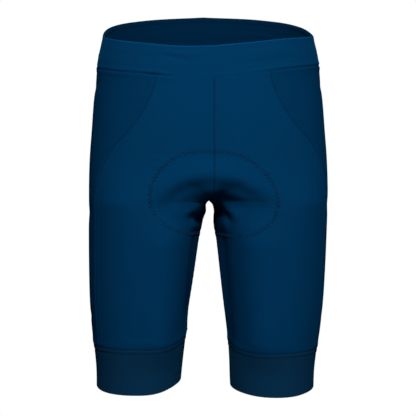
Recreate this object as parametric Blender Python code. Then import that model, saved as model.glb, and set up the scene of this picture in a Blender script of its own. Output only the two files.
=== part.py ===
"""Thigh-length cycling shorts in stretch knit, filled out as worn and empty inside.

Metres, +Z up. The front faces -Y and the wearer's left leg is at +X. The origin is the waist,
the point in the middle of the waistband that the wearer holds up.

The shorts are one surface, read by two numbers: the share of the way round one side (0 at the
centre front, 0.5 at the hip, 1 at the centre back) and the height. Below the crotch each side
closes into a leg, so the shares 0 and 1 are both its inseam. Every piece of cloth is a stretch
of that surface with a wall behind it, and neighbours stop half a seam gap short of their seam.
"""

import bpy
import numpy as np

# ---------------------------------------------------------------- driving dimensions
WALL = 0.0020
SEAM_GAP = 0.0003
CROTCH_HEIGHT = -0.2080
FRONT_TURN = 0.0700
BACK_TURN = 0.1150
TURN_FILLET = 0.0240
LEG_LEAN = -0.0046

# height, half width at the hips' sides, reach of the front, reach of the back, squareness
BODY_SECTIONS = (
    (0.060, 0.1468, 0.0985, 0.1000, 2.15),
    (0.022, 0.1502, 0.1000, 0.1015, 2.15),
    (-0.010, 0.1570, 0.1018, 0.1045, 2.18),
    (-0.040, 0.1595, 0.1035, 0.1105, 2.22),
    (-0.068, 0.1628, 0.1050, 0.1175, 2.28),
    (-0.110, 0.1660, 0.1062, 0.1255, 2.40),
    (-0.152, 0.1691, 0.1060, 0.1275, 2.45),
    (-0.181, 0.1701, 0.1045, 0.1235, 2.40),
    (-0.209, 0.1704, 0.1022, 0.1155, 2.30),
    (-0.238, 0.1702, 0.0995, 0.1060, 2.20),
    (-0.266, 0.1699, 0.0968, 0.0960, 2.15),
    (-0.312, 0.1689, 0.0918, 0.0830, 2.12),
    (-0.358, 0.1669, 0.0865, 0.0750, 2.10),
    (-0.404, 0.1624, 0.0800, 0.0690, 2.10),
    (-0.427, 0.1591, 0.0758, 0.0662, 2.10),
    (-0.450, 0.1568, 0.0722, 0.0640, 2.10),
    (-0.490, 0.1560, 0.0680, 0.0615, 2.10),
)
# height, half of the gap between the legs
LEG_GAP = (
    (CROTCH_HEIGHT, 0.0),
    (-0.215, 0.0050),
    (-0.222, 0.0065),
    (-0.232, 0.0081),
    (-0.249, 0.0103),
    (-0.266, 0.0126),
    (-0.312, 0.0182),
    (-0.358, 0.0240),
    (-0.404, 0.0295),
    (-0.450, 0.0341),
    (-0.490, 0.0370),
)
# share of the way round, heights of the waist's top edge and of the waistband's lower seam,
# for each side (+1 is the wearer's left)
WAIST_EDGES = {
    1: (
        (0.00, 0.0099, -0.0344),
        (0.10, 0.0134, -0.0300),
        (0.25, 0.0193, -0.0221),
        (0.40, 0.0228, -0.0179),
        (0.50, 0.0250, -0.0172),
        (0.55, 0.0305, -0.0140),
        (0.60, 0.0360, -0.0090),
        (0.66, 0.0412, -0.0020),
        (0.79, 0.0479, 0.0052),
        (1.00, 0.0520, 0.0090),
    ),
    -1: (
        (0.00, 0.0099, -0.0344),
        (0.10, 0.0092, -0.0331),
        (0.25, 0.0137, -0.0277),
        (0.40, 0.0195, -0.0236),
        (0.50, 0.0245, -0.0205),
        (0.55, 0.0305, -0.0145),
        (0.60, 0.0360, -0.0090),
        (0.66, 0.0408, -0.0025),
        (0.79, 0.0472, 0.0047),
        (1.00, 0.0520, 0.0090),
    ),
}
# height, how far a side panel reaches ahead of the hip line and behind it, along the cloth
SIDE_SEAMS = (
    (0.010, 0.1330, 0.1050),
    (-0.030, 0.1310, 0.1030),
    (-0.057, 0.1270, 0.1000),
    (-0.083, 0.1170, 0.0960),
    (-0.111, 0.0970, 0.0900),
    (-0.132, 0.0755, 0.0850),
    (-0.152, 0.0630, 0.0780),
    (-0.175, 0.0560, 0.0710),
    (-0.206, 0.0530, 0.0640),
    (-0.260, 0.0490, 0.0560),
    (-0.340, 0.0440, 0.0480),
    (-0.440, 0.0390, 0.0430),
)
SIDE_SEAM_TILT = 0.0040
# share of the way round a leg from its inseam, heights of the cuff's seam and of the hem
LEG_EDGES = {
    1: (
        (0.00, -0.4140, -0.4772),
        (0.10, -0.4188, -0.4812),
        (0.20, -0.4212, -0.4854),
        (0.30, -0.4216, -0.4857),
        (0.40, -0.4213, -0.4813),
        (0.50, -0.4222, -0.4772),
        (0.75, -0.4195, -0.4752),
        (1.00, -0.4140, -0.4772),
    ),
    -1: (
        (0.00, -0.4003, -0.4640),
        (0.10, -0.4056, -0.4700),
        (0.20, -0.4123, -0.4792),
        (0.30, -0.4143, -0.4804),
        (0.40, -0.4145, -0.4790),
        (0.50, -0.4146, -0.4752),
        (0.75, -0.4068, -0.4668),
        (1.00, -0.4003, -0.4640),
    ),
}

# turn from straight ahead, then how far across, how far back and how high the seat pad's edge lies
PAD_OUTLINE = (
    (0.0, 0.0000, -0.1065, -0.1354),
    (9.0, 0.0420, -0.1045, -0.1415),
    (18.0, 0.0690, -0.1020, -0.1600),
    (27.0, 0.0835, -0.1018, -0.1805),
    (36.0, 0.0887, -0.1015, -0.2020),
    (45.0, 0.0840, -0.1000, -0.2240),
    (54.0, 0.0640, -0.0925, -0.2440),
    (63.0, 0.0370, -0.0750, -0.2535),
    (72.0, 0.0180, -0.0430, -0.2565),
    (81.0, 0.0118, -0.0190, -0.2577),
    (90.0, 0.0108, 0.0000, -0.2583),
    (99.0, 0.0115, 0.0180, -0.2588),
    (108.0, 0.0160, 0.0380, -0.2590),
    (117.0, 0.0290, 0.0670, -0.2560),
    (126.0, 0.0520, 0.0940, -0.2430),
    (135.0, 0.0740, 0.1110, -0.2235),
    (144.0, 0.0885, 0.1160, -0.2005),
    (153.0, 0.0875, 0.1210, -0.1790),
    (162.0, 0.0735, 0.1250, -0.1590),
    (171.0, 0.0430, 0.1278, -0.1415),
    (180.0, 0.0000, 0.1299, -0.1338),
)
PAD_TILT = 0.0055
PAD_THICKNESS = 0.0080
PAD_EDGE = 0.0020
PAD_CLEARANCE = 0.0016
PAD_SAG = 0.0016
# reach of the pad's inner rings from the crotch, sideways and further ahead and behind
PAD_CORE_REACH = 0.0500
PAD_CORE_GROWTH = 0.1000

# ---------------------------------------------------------------- mesh resolution
BAND_ROWS = 3
ROWS_ABOVE_CROTCH = 16
ROWS_BELOW_CROTCH = 14
CUFF_ROWS = 4
FRONT_COLUMNS = 9
SIDE_COLUMNS = 10
BACK_COLUMNS = 9
CROTCH_CROWDING = 0.50
PAD_TURNS = 40
PAD_RINGS = 12
PAD_CROWDING = 1.3
SECTION_RAYS = 720
HALF_SHARES = 100
LEG_SECTIONS = 60
CROTCH_SECTIONS = 25
TURN_SECTIONS = 72
HIP_SECTIONS = 60
CLOSE_BELOW_CROTCH = 0.0300
CENTRE_LINE_STEPS = 400
RELAX_STEPS = 60
PAD_RELAX_STEPS = 150
PAD_RING_PULL = 4.0
SETTLE_STEPS = 4
SETTLE_PROBE = 0.0002
HALVINGS = 30
SHARP_ANGLE = 50.0

SEAM_ROW = BAND_ROWS
CROTCH_ROW = SEAM_ROW + ROWS_ABOVE_CROTCH
CUFF_ROW = CROTCH_ROW + ROWS_BELOW_CROTCH
HEM_ROW = CUFF_ROW + CUFF_ROWS
SIDE_START = FRONT_COLUMNS
SIDE_END = SIDE_START + SIDE_COLUMNS
LAST_COLUMN = SIDE_END + BACK_COLUMNS

SIDE_NAMES = {1: "left", -1: "right"}


# ---------------------------------------------------------------- small helpers
def unit(vectors):
    """Give each vector of an array the length 1."""
    return vectors / np.maximum(np.linalg.norm(vectors, axis=-1, keepdims=True), 1e-12)


def smooth_column(table, column, places):
    """Read one column of a table at any places, on a smooth curve through its rows."""
    rows = np.array(sorted(table))
    knots, values = rows[:, 0], rows[:, column]
    slopes = np.gradient(values, knots)
    places = np.clip(places, knots[0], knots[-1])
    low = np.clip(np.searchsorted(knots, places) - 1, 0, len(knots) - 2)
    span = knots[low + 1] - knots[low]
    t = (places - knots[low]) / span
    rise = t * t * (3 - 2 * t)
    leave = span * slopes[low] * t * (1 - t) ** 2
    arrive = span * slopes[low + 1] * t * t * (t - 1)
    return values[low] * (1 - rise) + values[low + 1] * rise + leave + arrive


def resample(line, places):
    """Read a polyline at shares of its length."""
    reach = np.concatenate([[0.0], np.cumsum(np.linalg.norm(np.diff(line, axis=0), axis=1))])
    return np.stack([np.interp(places * reach[-1], reach, axis) for axis in line.T], axis=-1), reach[-1]


# ---------------------------------------------------------------- the surface
class Section:
    """Horizontal sections of one side, x from 0 outwards and y from front to back."""

    def __init__(self, height):
        columns = (smooth_column(BODY_SECTIONS, column, height) for column in (1, 2, 3, 4))
        self.width, front, back, self.squareness = columns
        self.depths = (front, back)
        above = height > CROTCH_HEIGHT
        leg_gap = smooth_column(LEG_GAP, 1, height)
        self.inner, self.fillet = [], []
        for turn in (FRONT_TURN, BACK_TURN):
            apart = (1 - np.clip((height - CROTCH_HEIGHT) / turn, 0.0, 1.0)) ** 2
            self.inner.append(np.where(above, -self.width * (1 - apart) / (1 + apart), leg_gap))
            self.fillet.append(np.maximum(TURN_FILLET * 4 * apart * (1 - apart), 1e-6))

    def outside(self, x, y):
        """Tell how far points lie outside both legs, which melt into each other above the crotch."""
        front = y < 0
        depth, inner, fillet = (np.where(front, *pair) for pair in (self.depths, self.inner, self.fillet))
        centre, half = (self.width + inner) / 2, (self.width - inner) / 2
        legs = []
        for across in (x - centre, x + centre):
            power = np.abs(across / half) ** self.squareness + np.abs(y / depth) ** self.squareness
            size = np.maximum(power, 1e-12) ** (1 / self.squareness)
            legs.append(np.hypot(across, y) * (1 - 1 / size))
        overlap = np.maximum(fillet - np.abs(legs[0] - legs[1]), 0.0) / fillet
        return np.minimum(*legs) - overlap ** 2 * fillet / 4

    def reach(self, start, direction, limit):
        """Find how far each ray runs inside before it leaves the section."""
        low, high = np.zeros_like(limit), limit.copy()
        for _ in range(HALVINGS):
            middle = (low + high) / 2
            inside = self.outside(start[0] + direction[0] * middle, start[1] + direction[1] * middle) < 0
            low, high = np.where(inside, middle, low), np.where(inside, high, middle)
        return high


def trace_section(height):
    """Trace one section from the centre front or inseam to the hip line, and on to the back."""
    section = Section(height)
    angle = np.linspace(0.0, 2 * np.pi, SECTION_RAYS + 1)
    direction = (-np.cos(angle), -np.sin(angle))
    start = ((section.width + max(section.inner[0], 0.0)) / 2, 0.0)
    limit = np.full(angle.shape, 2 * section.width)
    inward = direction[0] < 0
    limit[inward] = np.minimum(limit[inward], -start[0] / direction[0][inward])
    length = section.reach(start, direction, limit)
    points = np.stack([start[0] + direction[0] * length, direction[1] * length], axis=1)
    front, back = points[:SECTION_RAYS // 2 + 1], points[SECTION_RAYS // 2:]
    if height <= CROTCH_HEIGHT:
        return front, back
    ends = section.reach((0.0, 0.0), (np.zeros(2), np.array([-1.0, 1.0])), np.full(2, 2 * section.width))
    cloth = length < limit - 1e-7
    front, back = front[cloth[:len(front)]], back[cloth[len(front) - 1:]]
    return np.vstack([[0.0, -ends[0]], front]), np.vstack([back, [0.0, ends[1]]])


def settle(points):
    """Move points straight onto the surface of one side, before it leans."""

    def outside(at):
        """Measure every point in its own section."""
        return Section(at[..., 2]).outside(at[..., 0], at[..., 1])

    for _ in range(SETTLE_STEPS):
        value = outside(points)
        probes = [outside(points + SETTLE_PROBE * axis) for axis in np.eye(3)]
        slope = np.stack([(probe - value) / SETTLE_PROBE for probe in probes], axis=-1)
        points = points - (value / np.sum(slope * slope, axis=-1))[..., None] * slope
    return points


def lean(points, side):
    """Stand one side's points up in the garment, on the left or mirrored on the right."""
    drop = np.clip((CROTCH_HEIGHT - points[..., 2]) / (CROTCH_HEIGHT - BODY_SECTIONS[-1][0]), 0.0, 1.0)
    return np.stack([side * points[..., 0] + LEG_LEAN * drop, points[..., 1], points[..., 2]], axis=-1)


class Surface:
    """One side's surface, read by share and height from a fine lattice of sections."""

    def __init__(self):
        top, bottom = BODY_SECTIONS[0][0], BODY_SECTIONS[-1][0]
        rise = 1 - np.cos(np.linspace(0.0, np.pi / 2, TURN_SECTIONS))
        close = CROTCH_HEIGHT - CLOSE_BELOW_CROTCH
        self.heights = np.unique(np.concatenate([
            np.linspace(bottom, close, LEG_SECTIONS),
            np.linspace(close, CROTCH_HEIGHT, CROTCH_SECTIONS),
            CROTCH_HEIGHT + rise * FRONT_TURN,
            np.linspace(CROTCH_HEIGHT + FRONT_TURN, top, HIP_SECTIONS),
        ]))
        half = np.linspace(0.0, 1.0, HALF_SHARES + 1)
        sections = [trace_section(height) for height in self.heights]
        halves = [[resample(line, half) for line in section] for section in sections]
        self.lattice = np.array([np.vstack([front[0], back[0][1:]]) for front, back in halves])
        self.girths = np.array([[front[1], back[1]] for front, back in halves])

    def points(self, share, height):
        """Place points of one side by their shares and heights, before it leans."""
        share, height = np.broadcast_arrays(np.clip(share, 0.0, 1.0), height)
        row = np.clip(np.searchsorted(self.heights, height) - 1, 0, len(self.heights) - 2)
        along = share * 2 * HALF_SHARES
        column = np.clip(along.astype(int), 0, 2 * HALF_SHARES - 1)
        down = ((height - self.heights[row]) / (self.heights[row + 1] - self.heights[row]))[..., None]
        right = (along - column)[..., None]
        low = self.lattice[row, column] * (1 - right) + self.lattice[row, column + 1] * right
        high = self.lattice[row + 1, column] * (1 - right) + self.lattice[row + 1, column + 1] * right
        flat = low * (1 - down) + high * down
        return np.stack([flat[..., 0], flat[..., 1], height], axis=-1)

    def girth(self, height, back):
        """Give the length of a section's front or back half at a height."""
        return np.interp(height, self.heights, self.girths[:, int(back)])


# ---------------------------------------------------------------- rows and columns of one side
def crowded(steps, towards_end):
    """Give even steps from 0 to 1 that crowd a little towards the crotch."""
    x = np.linspace(0.0, 1.0, steps + 1)
    pull = CROTCH_CROWDING / np.pi * np.sin(np.pi * x)
    return x + pull if towards_end else x - pull


def centre_heights(surface, share, seam, cuff):
    """Give the rows' heights down the centre front or back and then the inseam, evenly along the cloth."""
    heights = []
    stretches = (
        (seam, CROTCH_HEIGHT, ROWS_ABOVE_CROTCH, True),
        (CROTCH_HEIGHT, cuff, ROWS_BELOW_CROTCH, False),
    )
    for start, end, rows, above in stretches:
        run = np.linspace(0.0, 1.0, CENTRE_LINE_STEPS)
        fine = start + (end - start) * (np.sin(np.pi / 2 * run) if above else run)
        line = surface.points(share, fine)
        placed, _ = resample(line, crowded(rows, above))
        heights.append(placed[:, 2])
    return np.concatenate([heights[0], heights[1][1:]])


def side_grid(surface, side):
    """Place every row and column of one side, from the waist's top edge to the hem."""
    waist, leg = WAIST_EDGES[side], LEG_EDGES[side]
    seam_ends = smooth_column(waist, 2, np.array([0.0, 1.0]))
    cuff_end = leg[0][1]
    drops = []
    for end, share in zip(seam_ends, (0.0, 1.0)):
        heights = centre_heights(surface, share, end, cuff_end)
        drops.append((end - heights) / (end - cuff_end))
    hip_drop = np.linspace(0.0, 1.0, ROWS_ABOVE_CROTCH + ROWS_BELOW_CROTCH + 1)

    def height_at(drop_row, share):
        """Give the height of a panel row at a share."""
        centre = (np.clip(1 - 2 * share, 0, 1) ** 2, np.clip(2 * share - 1, 0, 1) ** 2)
        drop = hip_drop[drop_row] + sum(w * (d[drop_row] - hip_drop[drop_row]) for w, d in zip(centre, drops))
        top = smooth_column(waist, 2, share)
        return top + drop * (smooth_column(leg, 1, share) - top)

    def columns(row):
        """Share out a panel row's columns between the seams that it crosses."""
        seams = []
        for column, away in ((1, -0.5), (2, 0.5)):
            share = 0.5
            for _ in range(HALVINGS):
                height = height_at(row, share)
                reach = smooth_column(SIDE_SEAMS, column, height - side * SIDE_SEAM_TILT)
                reach /= surface.girth(height, away > 0)
                share = float(0.5 + away * reach)
            seams.append(share)
        counts = (FRONT_COLUMNS, SIDE_COLUMNS, BACK_COLUMNS)
        bounds = [0.0, *seams, 1.0]
        parts = [np.linspace(a, b, n, endpoint=False) for a, b, n in zip(bounds, bounds[1:], counts)]
        return np.concatenate([*parts, [1.0]])

    shares, heights = [], []
    panel_rows = range(ROWS_ABOVE_CROTCH + ROWS_BELOW_CROTCH + 1)
    top, bottom = columns(0), columns(panel_rows[-1])
    edge, seam = (smooth_column(waist, column, top) for column in (1, 2))
    for row in range(BAND_ROWS):
        shares.append(top)
        heights.append(edge + (seam - edge) * row / BAND_ROWS)
    for row in panel_rows:
        shares.append(columns(row))
        heights.append(height_at(row, shares[-1]))
    cuff, hem = (smooth_column(leg, column, bottom) for column in (1, 2))
    for row in range(1, CUFF_ROWS + 1):
        shares.append(bottom)
        heights.append(cuff + (hem - cuff) * row / CUFF_ROWS)
    grid = surface.points(np.array(shares), np.array(heights))
    for first, last in ((0, SIDE_START), (SIDE_START, SIDE_END), (SIDE_END, LAST_COLUMN)):
        relax(grid[SEAM_ROW:CUFF_ROW + 1, first:last + 1])
    return lean(grid, side)


def relax(panel):
    """Even out a panel's inner points along the surface, between its four fixed borders."""
    for _ in range(RELAX_STEPS):
        middle = (panel[:-2, 1:-1] + panel[2:, 1:-1] + panel[1:-1, :-2] + panel[1:-1, 2:]) / 4
        panel[1:-1, 1:-1] = settle(middle)


def grid_normals(grid, side):
    """Give the outward normals of one side's grid, shared across the centre seams and the inseam."""
    across = np.cross(grid[1:, 1:] - grid[:-1, :-1], grid[1:, :-1] - grid[:-1, 1:])
    normals = np.zeros_like(grid)
    for down in (slice(None, -1), slice(1, None)):
        for right in (slice(None, -1), slice(1, None)):
            normals[down, right] += across
    if grid.shape[0] == HEM_ROW + 1:
        both = normals[CROTCH_ROW:, 0] + normals[CROTCH_ROW:, -1]
        normals[CROTCH_ROW:, 0] = normals[CROTCH_ROW:, -1] = both
        normals[:CROTCH_ROW + 1, (0, -1), 0] = 0.0
    return unit(normals) * -side


# ---------------------------------------------------------------- pieces
def seam_shift(line, inward):
    """Give the shift that moves a seam line into its piece by half the seam gap, mitred at corners."""
    forward = unit(np.diff(line, axis=0))
    before, after = np.vstack([forward[:1], forward]), np.vstack([forward, forward[-1:]])
    tangent = unit(before + after)
    spread = np.sum(tangent * after, axis=1, keepdims=True)
    sideways = inward - np.sum(inward * tangent, axis=1, keepdims=True) * tangent
    return unit(sideways) * SEAM_GAP / 2 / spread


def pull_in(grid, sides):
    """Pull the named sides of a piece's grid back from their seams."""
    shift = np.zeros_like(grid)
    if "top" in sides:
        shift[0] += seam_shift(grid[0], grid[1] - grid[0])
    if "bottom" in sides:
        shift[-1] += seam_shift(grid[-1], grid[-2] - grid[-1])
    if "start" in sides:
        shift[:, 0] += seam_shift(grid[:, 0], grid[:, 1] - grid[:, 0])
    if "end" in sides:
        shift[:, -1] += seam_shift(grid[:, -1], grid[:, -2] - grid[:, -1])
    return grid + shift


def material(name, colour, roughness):
    """Make a plain cloth finish."""
    made = bpy.data.materials.new(name)
    made.use_nodes = True
    shader = made.node_tree.nodes["Principled BSDF"]
    shader.inputs["Base Color"].default_value = (*colour, 1.0)
    shader.inputs["Roughness"].default_value = roughness
    shader.inputs["Metallic"].default_value = 0.0
    return made


def add_object(name, points, faces, finish):
    """Put a closed body into the scene as one named object, shaded smooth apart from its rims."""
    mesh = bpy.data.meshes.new(name)
    mesh.from_pydata([tuple(p) for p in points], [], faces)
    mesh.materials.append(finish)
    mesh.shade_smooth()
    mesh.set_sharp_from_angle(angle=np.radians(SHARP_ANGLE))
    made = bpy.data.objects.new(name, mesh)
    bpy.context.scene.collection.objects.link(made)
    return made


def add_wall(name, outer, inner, ring, side, finish):
    """Close a piece's outer and inner grid into one wall, as a patch or as a ring."""
    rows, columns = outer.shape[:2]
    behind = rows * columns
    number = np.arange(behind).reshape(rows, columns)
    flat = outer.reshape(-1, 3)
    faces = []

    def add(*corners):
        """Add a face that looks outwards on either side of the garment."""
        faces.append(tuple(int(c) for c in (corners if side > 0 else corners[:1] + corners[:0:-1])))

    def add_rim(line):
        """Close a border of the wall, whose points run with the cloth on their right."""
        for a, b in zip(line, line[1:]):
            add(a, b, b + behind, a + behind)

    grown = np.hstack([number, number[:, :1]]) if ring else number
    for row in range(rows - 1):
        for a, b, c, d in zip(grown[row], grown[row, 1:], grown[row + 1, 1:], grown[row + 1]):
            if np.linalg.norm(flat[a] - flat[c]) > np.linalg.norm(flat[b] - flat[d]):
                add(b, a, d, c)
                add(b + behind, c + behind, d + behind, a + behind)
            else:
                add(a, d, c, b)
                add(a + behind, b + behind, c + behind, d + behind)
    add_rim(grown[0])
    add_rim(grown[-1][::-1])
    if not ring:
        add_rim(number[::-1, 0])
        add_rim(number[:, -1])
    points = np.vstack([outer.reshape(-1, 3), inner.reshape(-1, 3)])
    return add_object(name, points, faces, finish)


def build_side(surface, side, finishes):
    """Cut one side's grid into its front, side and back panel and its cuff."""
    grid = side_grid(surface, side)
    inside = grid - WALL * grid_normals(grid, side)
    panels = {
        "front": (0, SIDE_START),
        "side": (SIDE_START, SIDE_END),
        "back": (SIDE_END, LAST_COLUMN),
    }
    for name, (first, last) in panels.items():
        cut = (slice(SEAM_ROW, CUFF_ROW + 1), slice(first, last + 1))
        walls = [pull_in(layer[cut], ("top", "bottom", "start", "end")) for layer in (grid, inside)]
        add_wall(f"{name}_{SIDE_NAMES[side]}", *walls, False, side, finishes["cloth"])
    cut = (slice(CUFF_ROW, HEM_ROW + 1), slice(0, LAST_COLUMN))
    walls = [pull_in(layer[cut], ("top",)) for layer in (grid, inside)]
    add_wall(f"cuff_{SIDE_NAMES[side]}", *walls, True, side, finishes["cuff"])
    return grid[:SEAM_ROW + 1], inside[:SEAM_ROW + 1]


def build_waistband(halves, finishes):
    """Join the bands of both sides into one loop, round by the left hip and back by the right."""
    walls = []
    for left, right in zip(halves[1], halves[-1]):
        loop = np.concatenate([left[:, :-1], right[:, :0:-1]], axis=1)
        walls.append(pull_in(loop, ("bottom",)))
    add_wall("waistband", *walls, True, 1, finishes["band"])


def pad_outline(turns):
    """Place the seat pad's sewn edge on the cloth at turns from straight ahead."""
    folded = np.degrees(np.minimum(turns, 2 * np.pi - turns))
    places = np.stack([smooth_column(PAD_OUTLINE, column, folded) for column in (1, 2, 3)], axis=-1)
    side = np.where(turns > np.pi, -1.0, 1.0)
    widest = max(row[1] for row in PAD_OUTLINE)
    places[:, 2] -= PAD_TILT * side * places[:, 0] / widest
    places = settle(places)
    places[:, 0] *= side
    return places


def pad_grid(surface):
    """Place the seat pad's rings, which grow on the cloth from the crotch's point to the pad's edge."""
    turns = np.arange(PAD_TURNS) * 2 * np.pi / PAD_TURNS
    folded = np.degrees(np.minimum(turns, 2 * np.pi - turns))
    rings = (np.arange(1, PAD_RINGS + 1) / PAD_RINGS) ** PAD_CROWDING
    front = np.broadcast_to(folded <= 90.0, (PAD_RINGS, PAD_TURNS))
    quarter = np.radians(np.where(folded <= 90.0, folded, 180.0 - folded))
    radius = rings[:, None] * (PAD_CORE_REACH + PAD_CORE_GROWTH * np.cos(quarter) ** 2)
    along, aside = radius * np.cos(2 * quarter), radius * np.sin(2 * quarter)
    run = np.linspace(0.0, np.pi / 2, CENTRE_LINE_STEPS)
    rises = CROTCH_HEIGHT + (PAD_CORE_REACH + PAD_CORE_GROWTH) * (1 - np.cos(run))
    height = CROTCH_HEIGHT + np.minimum(along, 0.0)
    for share, chosen in ((0.0, front), (1.0, ~front)):
        line = surface.points(share, rises)
        reach = np.concatenate([[0.0], np.cumsum(np.linalg.norm(np.diff(line, axis=0), axis=1))])
        above = chosen & (along > 0)
        height[above] = np.interp(along[above], reach, rises)
    away = aside / 2 / np.where(front, surface.girth(height, False), surface.girth(height, True))
    grid = surface.points(np.where(front, away, 1.0 - away), height)
    grid[..., 0] *= np.where(turns > np.pi, -1, 1)
    grid[-1] = pad_outline(turns)
    centre = surface.points(0.0, CROTCH_HEIGHT)
    for _ in range(PAD_RELAX_STEPS):
        looped = np.concatenate([grid[:, -1:], grid, grid[:, :1]], axis=1)
        inner = np.concatenate([np.broadcast_to(centre, grid[:1].shape), grid[:-2]], axis=0)
        beside = looped[:-1, :-2] + looped[:-1, 2:]
        grid[:-1] = settle((PAD_RING_PULL * (inner + grid[1:]) + beside) / (2 * PAD_RING_PULL + 2))
    return lean(grid, 1), centre


def build_seat_pad(surface, finishes):
    """Make the pad behind the crotch, thick in its middle and thin at its sewn edge."""
    grid, centre = pad_grid(surface)
    looped = np.concatenate([grid[:, -1:], grid, grid[:, :1]], axis=1)
    looped = np.concatenate([np.broadcast_to(centre, looped[:1].shape), looped], axis=0)
    outward = -grid_normals(looped, 1)[1:, 1:-1]
    down = np.array([0.0, 0.0, -1.0])
    shares = np.arange(1, PAD_RINGS + 1) / PAD_RINGS
    thickness = (PAD_EDGE + (PAD_THICKNESS - PAD_EDGE) * (1 - shares ** 3))[:, None, None]
    lift = (WALL + PAD_CLEARANCE + PAD_SAG * (1 - shares ** 4))[:, None, None]
    outer, inner = grid - lift * outward, grid - (lift + thickness) * outward
    deep = WALL + PAD_CLEARANCE + PAD_SAG
    tips = [centre - deep * down, centre - (deep + PAD_THICKNESS) * down]
    count = PAD_RINGS * PAD_TURNS
    number = np.arange(count).reshape(PAD_RINGS, PAD_TURNS)
    number = np.hstack([number, number[:, :1]])
    faces = []
    for row in range(PAD_RINGS - 1):
        for a, b, c, d in zip(number[row], number[row, 1:], number[row + 1, 1:], number[row + 1]):
            faces.append((a, b, c, d))
            faces.append((a + count, d + count, c + count, b + count))
    for a, b in zip(number[0], number[0, 1:]):
        faces.append((2 * count, b, a))
        faces.append((2 * count + 1, a + count, b + count))
    for a, b in zip(number[-1], number[-1, 1:]):
        faces.append((a, b, b + count, a + count))
    points = np.vstack([outer.reshape(-1, 3), inner.reshape(-1, 3), tips])
    add_object("seat_pad", points, [tuple(int(c) for c in face) for face in faces], finishes["pad"])


def clear_scene():
    """Remove whatever the open file holds."""
    for old in list(bpy.data.objects):
        bpy.data.objects.remove(old, do_unlink=True)


def main():
    """Model every piece of the shorts."""
    clear_scene()
    finishes = {
        "cloth": material("body_knit", (0.002, 0.036, 0.102), 0.62),
        "band": material("waist_elastic", (0.002, 0.037, 0.104), 0.58),
        "cuff": material("cuff_elastic", (0.004, 0.030, 0.078), 0.60),
        "pad": material("pad_fleece", (0.012, 0.024, 0.045), 0.85),
    }
    surface = Surface()
    halves = {side: build_side(surface, side, finishes) for side in SIDE_NAMES}
    build_waistband(halves, finishes)
    build_seat_pad(surface, finishes)


main()
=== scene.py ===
"""Looks of thigh-length cycling shorts in stretch knit, filled out as worn and empty inside.

Metres, +Z up. The front faces -Y and the wearer's left leg is at +X, as in the frame. Each piece
of cloth is a thin shell on the same surface as its solid, laid out again here from the same
sizes, with the creases, seams and stitching that the solid leaves out.
"""

import logging
import math
from dataclasses import dataclass, field
from enum import Enum
from typing import Any, NamedTuple, Sequence

import bpy
import numpy as np
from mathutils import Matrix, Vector
from mathutils.bvhtree import BVHTree
from mathutils.kdtree import KDTree


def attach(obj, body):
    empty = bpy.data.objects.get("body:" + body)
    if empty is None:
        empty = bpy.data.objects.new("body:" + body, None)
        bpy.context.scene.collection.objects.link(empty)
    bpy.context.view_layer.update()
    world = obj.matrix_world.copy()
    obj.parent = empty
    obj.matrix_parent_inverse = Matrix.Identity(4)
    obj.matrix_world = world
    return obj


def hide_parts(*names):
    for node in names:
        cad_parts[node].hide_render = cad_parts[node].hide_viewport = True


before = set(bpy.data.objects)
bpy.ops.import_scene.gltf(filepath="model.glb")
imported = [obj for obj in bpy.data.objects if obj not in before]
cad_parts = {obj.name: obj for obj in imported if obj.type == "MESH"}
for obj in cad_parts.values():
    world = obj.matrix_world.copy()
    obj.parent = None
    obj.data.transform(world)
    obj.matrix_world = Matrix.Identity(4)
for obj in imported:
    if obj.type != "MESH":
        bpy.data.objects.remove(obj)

logging.basicConfig(level=logging.INFO, format="%(message)s")
LOG = logging.getLogger("shorts")

Array = np.ndarray
Colour = tuple[float, float, float]
Layers = tuple[tuple[float, float, float], ...]
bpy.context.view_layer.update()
LEAST = 1e-12
BODY = "root"


class Side(Enum):
    """The wearer's sides, by the sign of their X."""

    LEFT = 1
    RIGHT = -1

    @property
    def word(self) -> str:
        """Name the side as the nodes do."""
        return self.name.lower()


class View(Enum):
    """The directions that a crease is laid from: its way across, the way out and the stand-off."""

    FRONT = ((1.0, 0.0), (0.0, -1.0), 0.5)
    BACK = ((1.0, 0.0), (0.0, 1.0), 0.5)
    LEFT = ((0.0, 1.0), (1.0, 0.0), 0.5)
    RIGHT = ((0.0, 1.0), (-1.0, 0.0), 0.5)
    INNER_LEFT = ((0.0, 1.0), (-1.0, 0.0), 0.0)
    INNER_RIGHT = ((0.0, 1.0), (1.0, 0.0), 0.0)


# ---------------------------------------------------------------- the garment's sizes
class BodySection(NamedTuple):
    """One level section of the body and legs."""

    height: float
    half_width: float
    front: float
    back: float
    squareness: float


class GapSection(NamedTuple):
    """Half of the gap between the legs at a height."""

    height: float
    half_gap: float


class WaistEdge(NamedTuple):
    """Heights of the waistband's edges at a share of the way round one side."""

    share: float
    top: float
    seam: float


class SideSeam(NamedTuple):
    """How far a side panel reaches ahead of the hip line and behind it, along the cloth."""

    height: float
    ahead: float
    behind: float


class LegEdge(NamedTuple):
    """Heights of the cuff's seam and of the hem at a share of the way round a leg."""

    share: float
    seam: float
    hem: float


class PadPlace(NamedTuple):
    """Where the seat pad's sewn edge lies, by its turn from straight ahead."""

    turn: float
    across: float
    behind: float
    height: float


def rows_of(kind: type, *rows: tuple) -> tuple[NamedTuple, ...]:
    """Make a table's rows of one kind."""
    return tuple(kind(*row) for row in rows)


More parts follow.
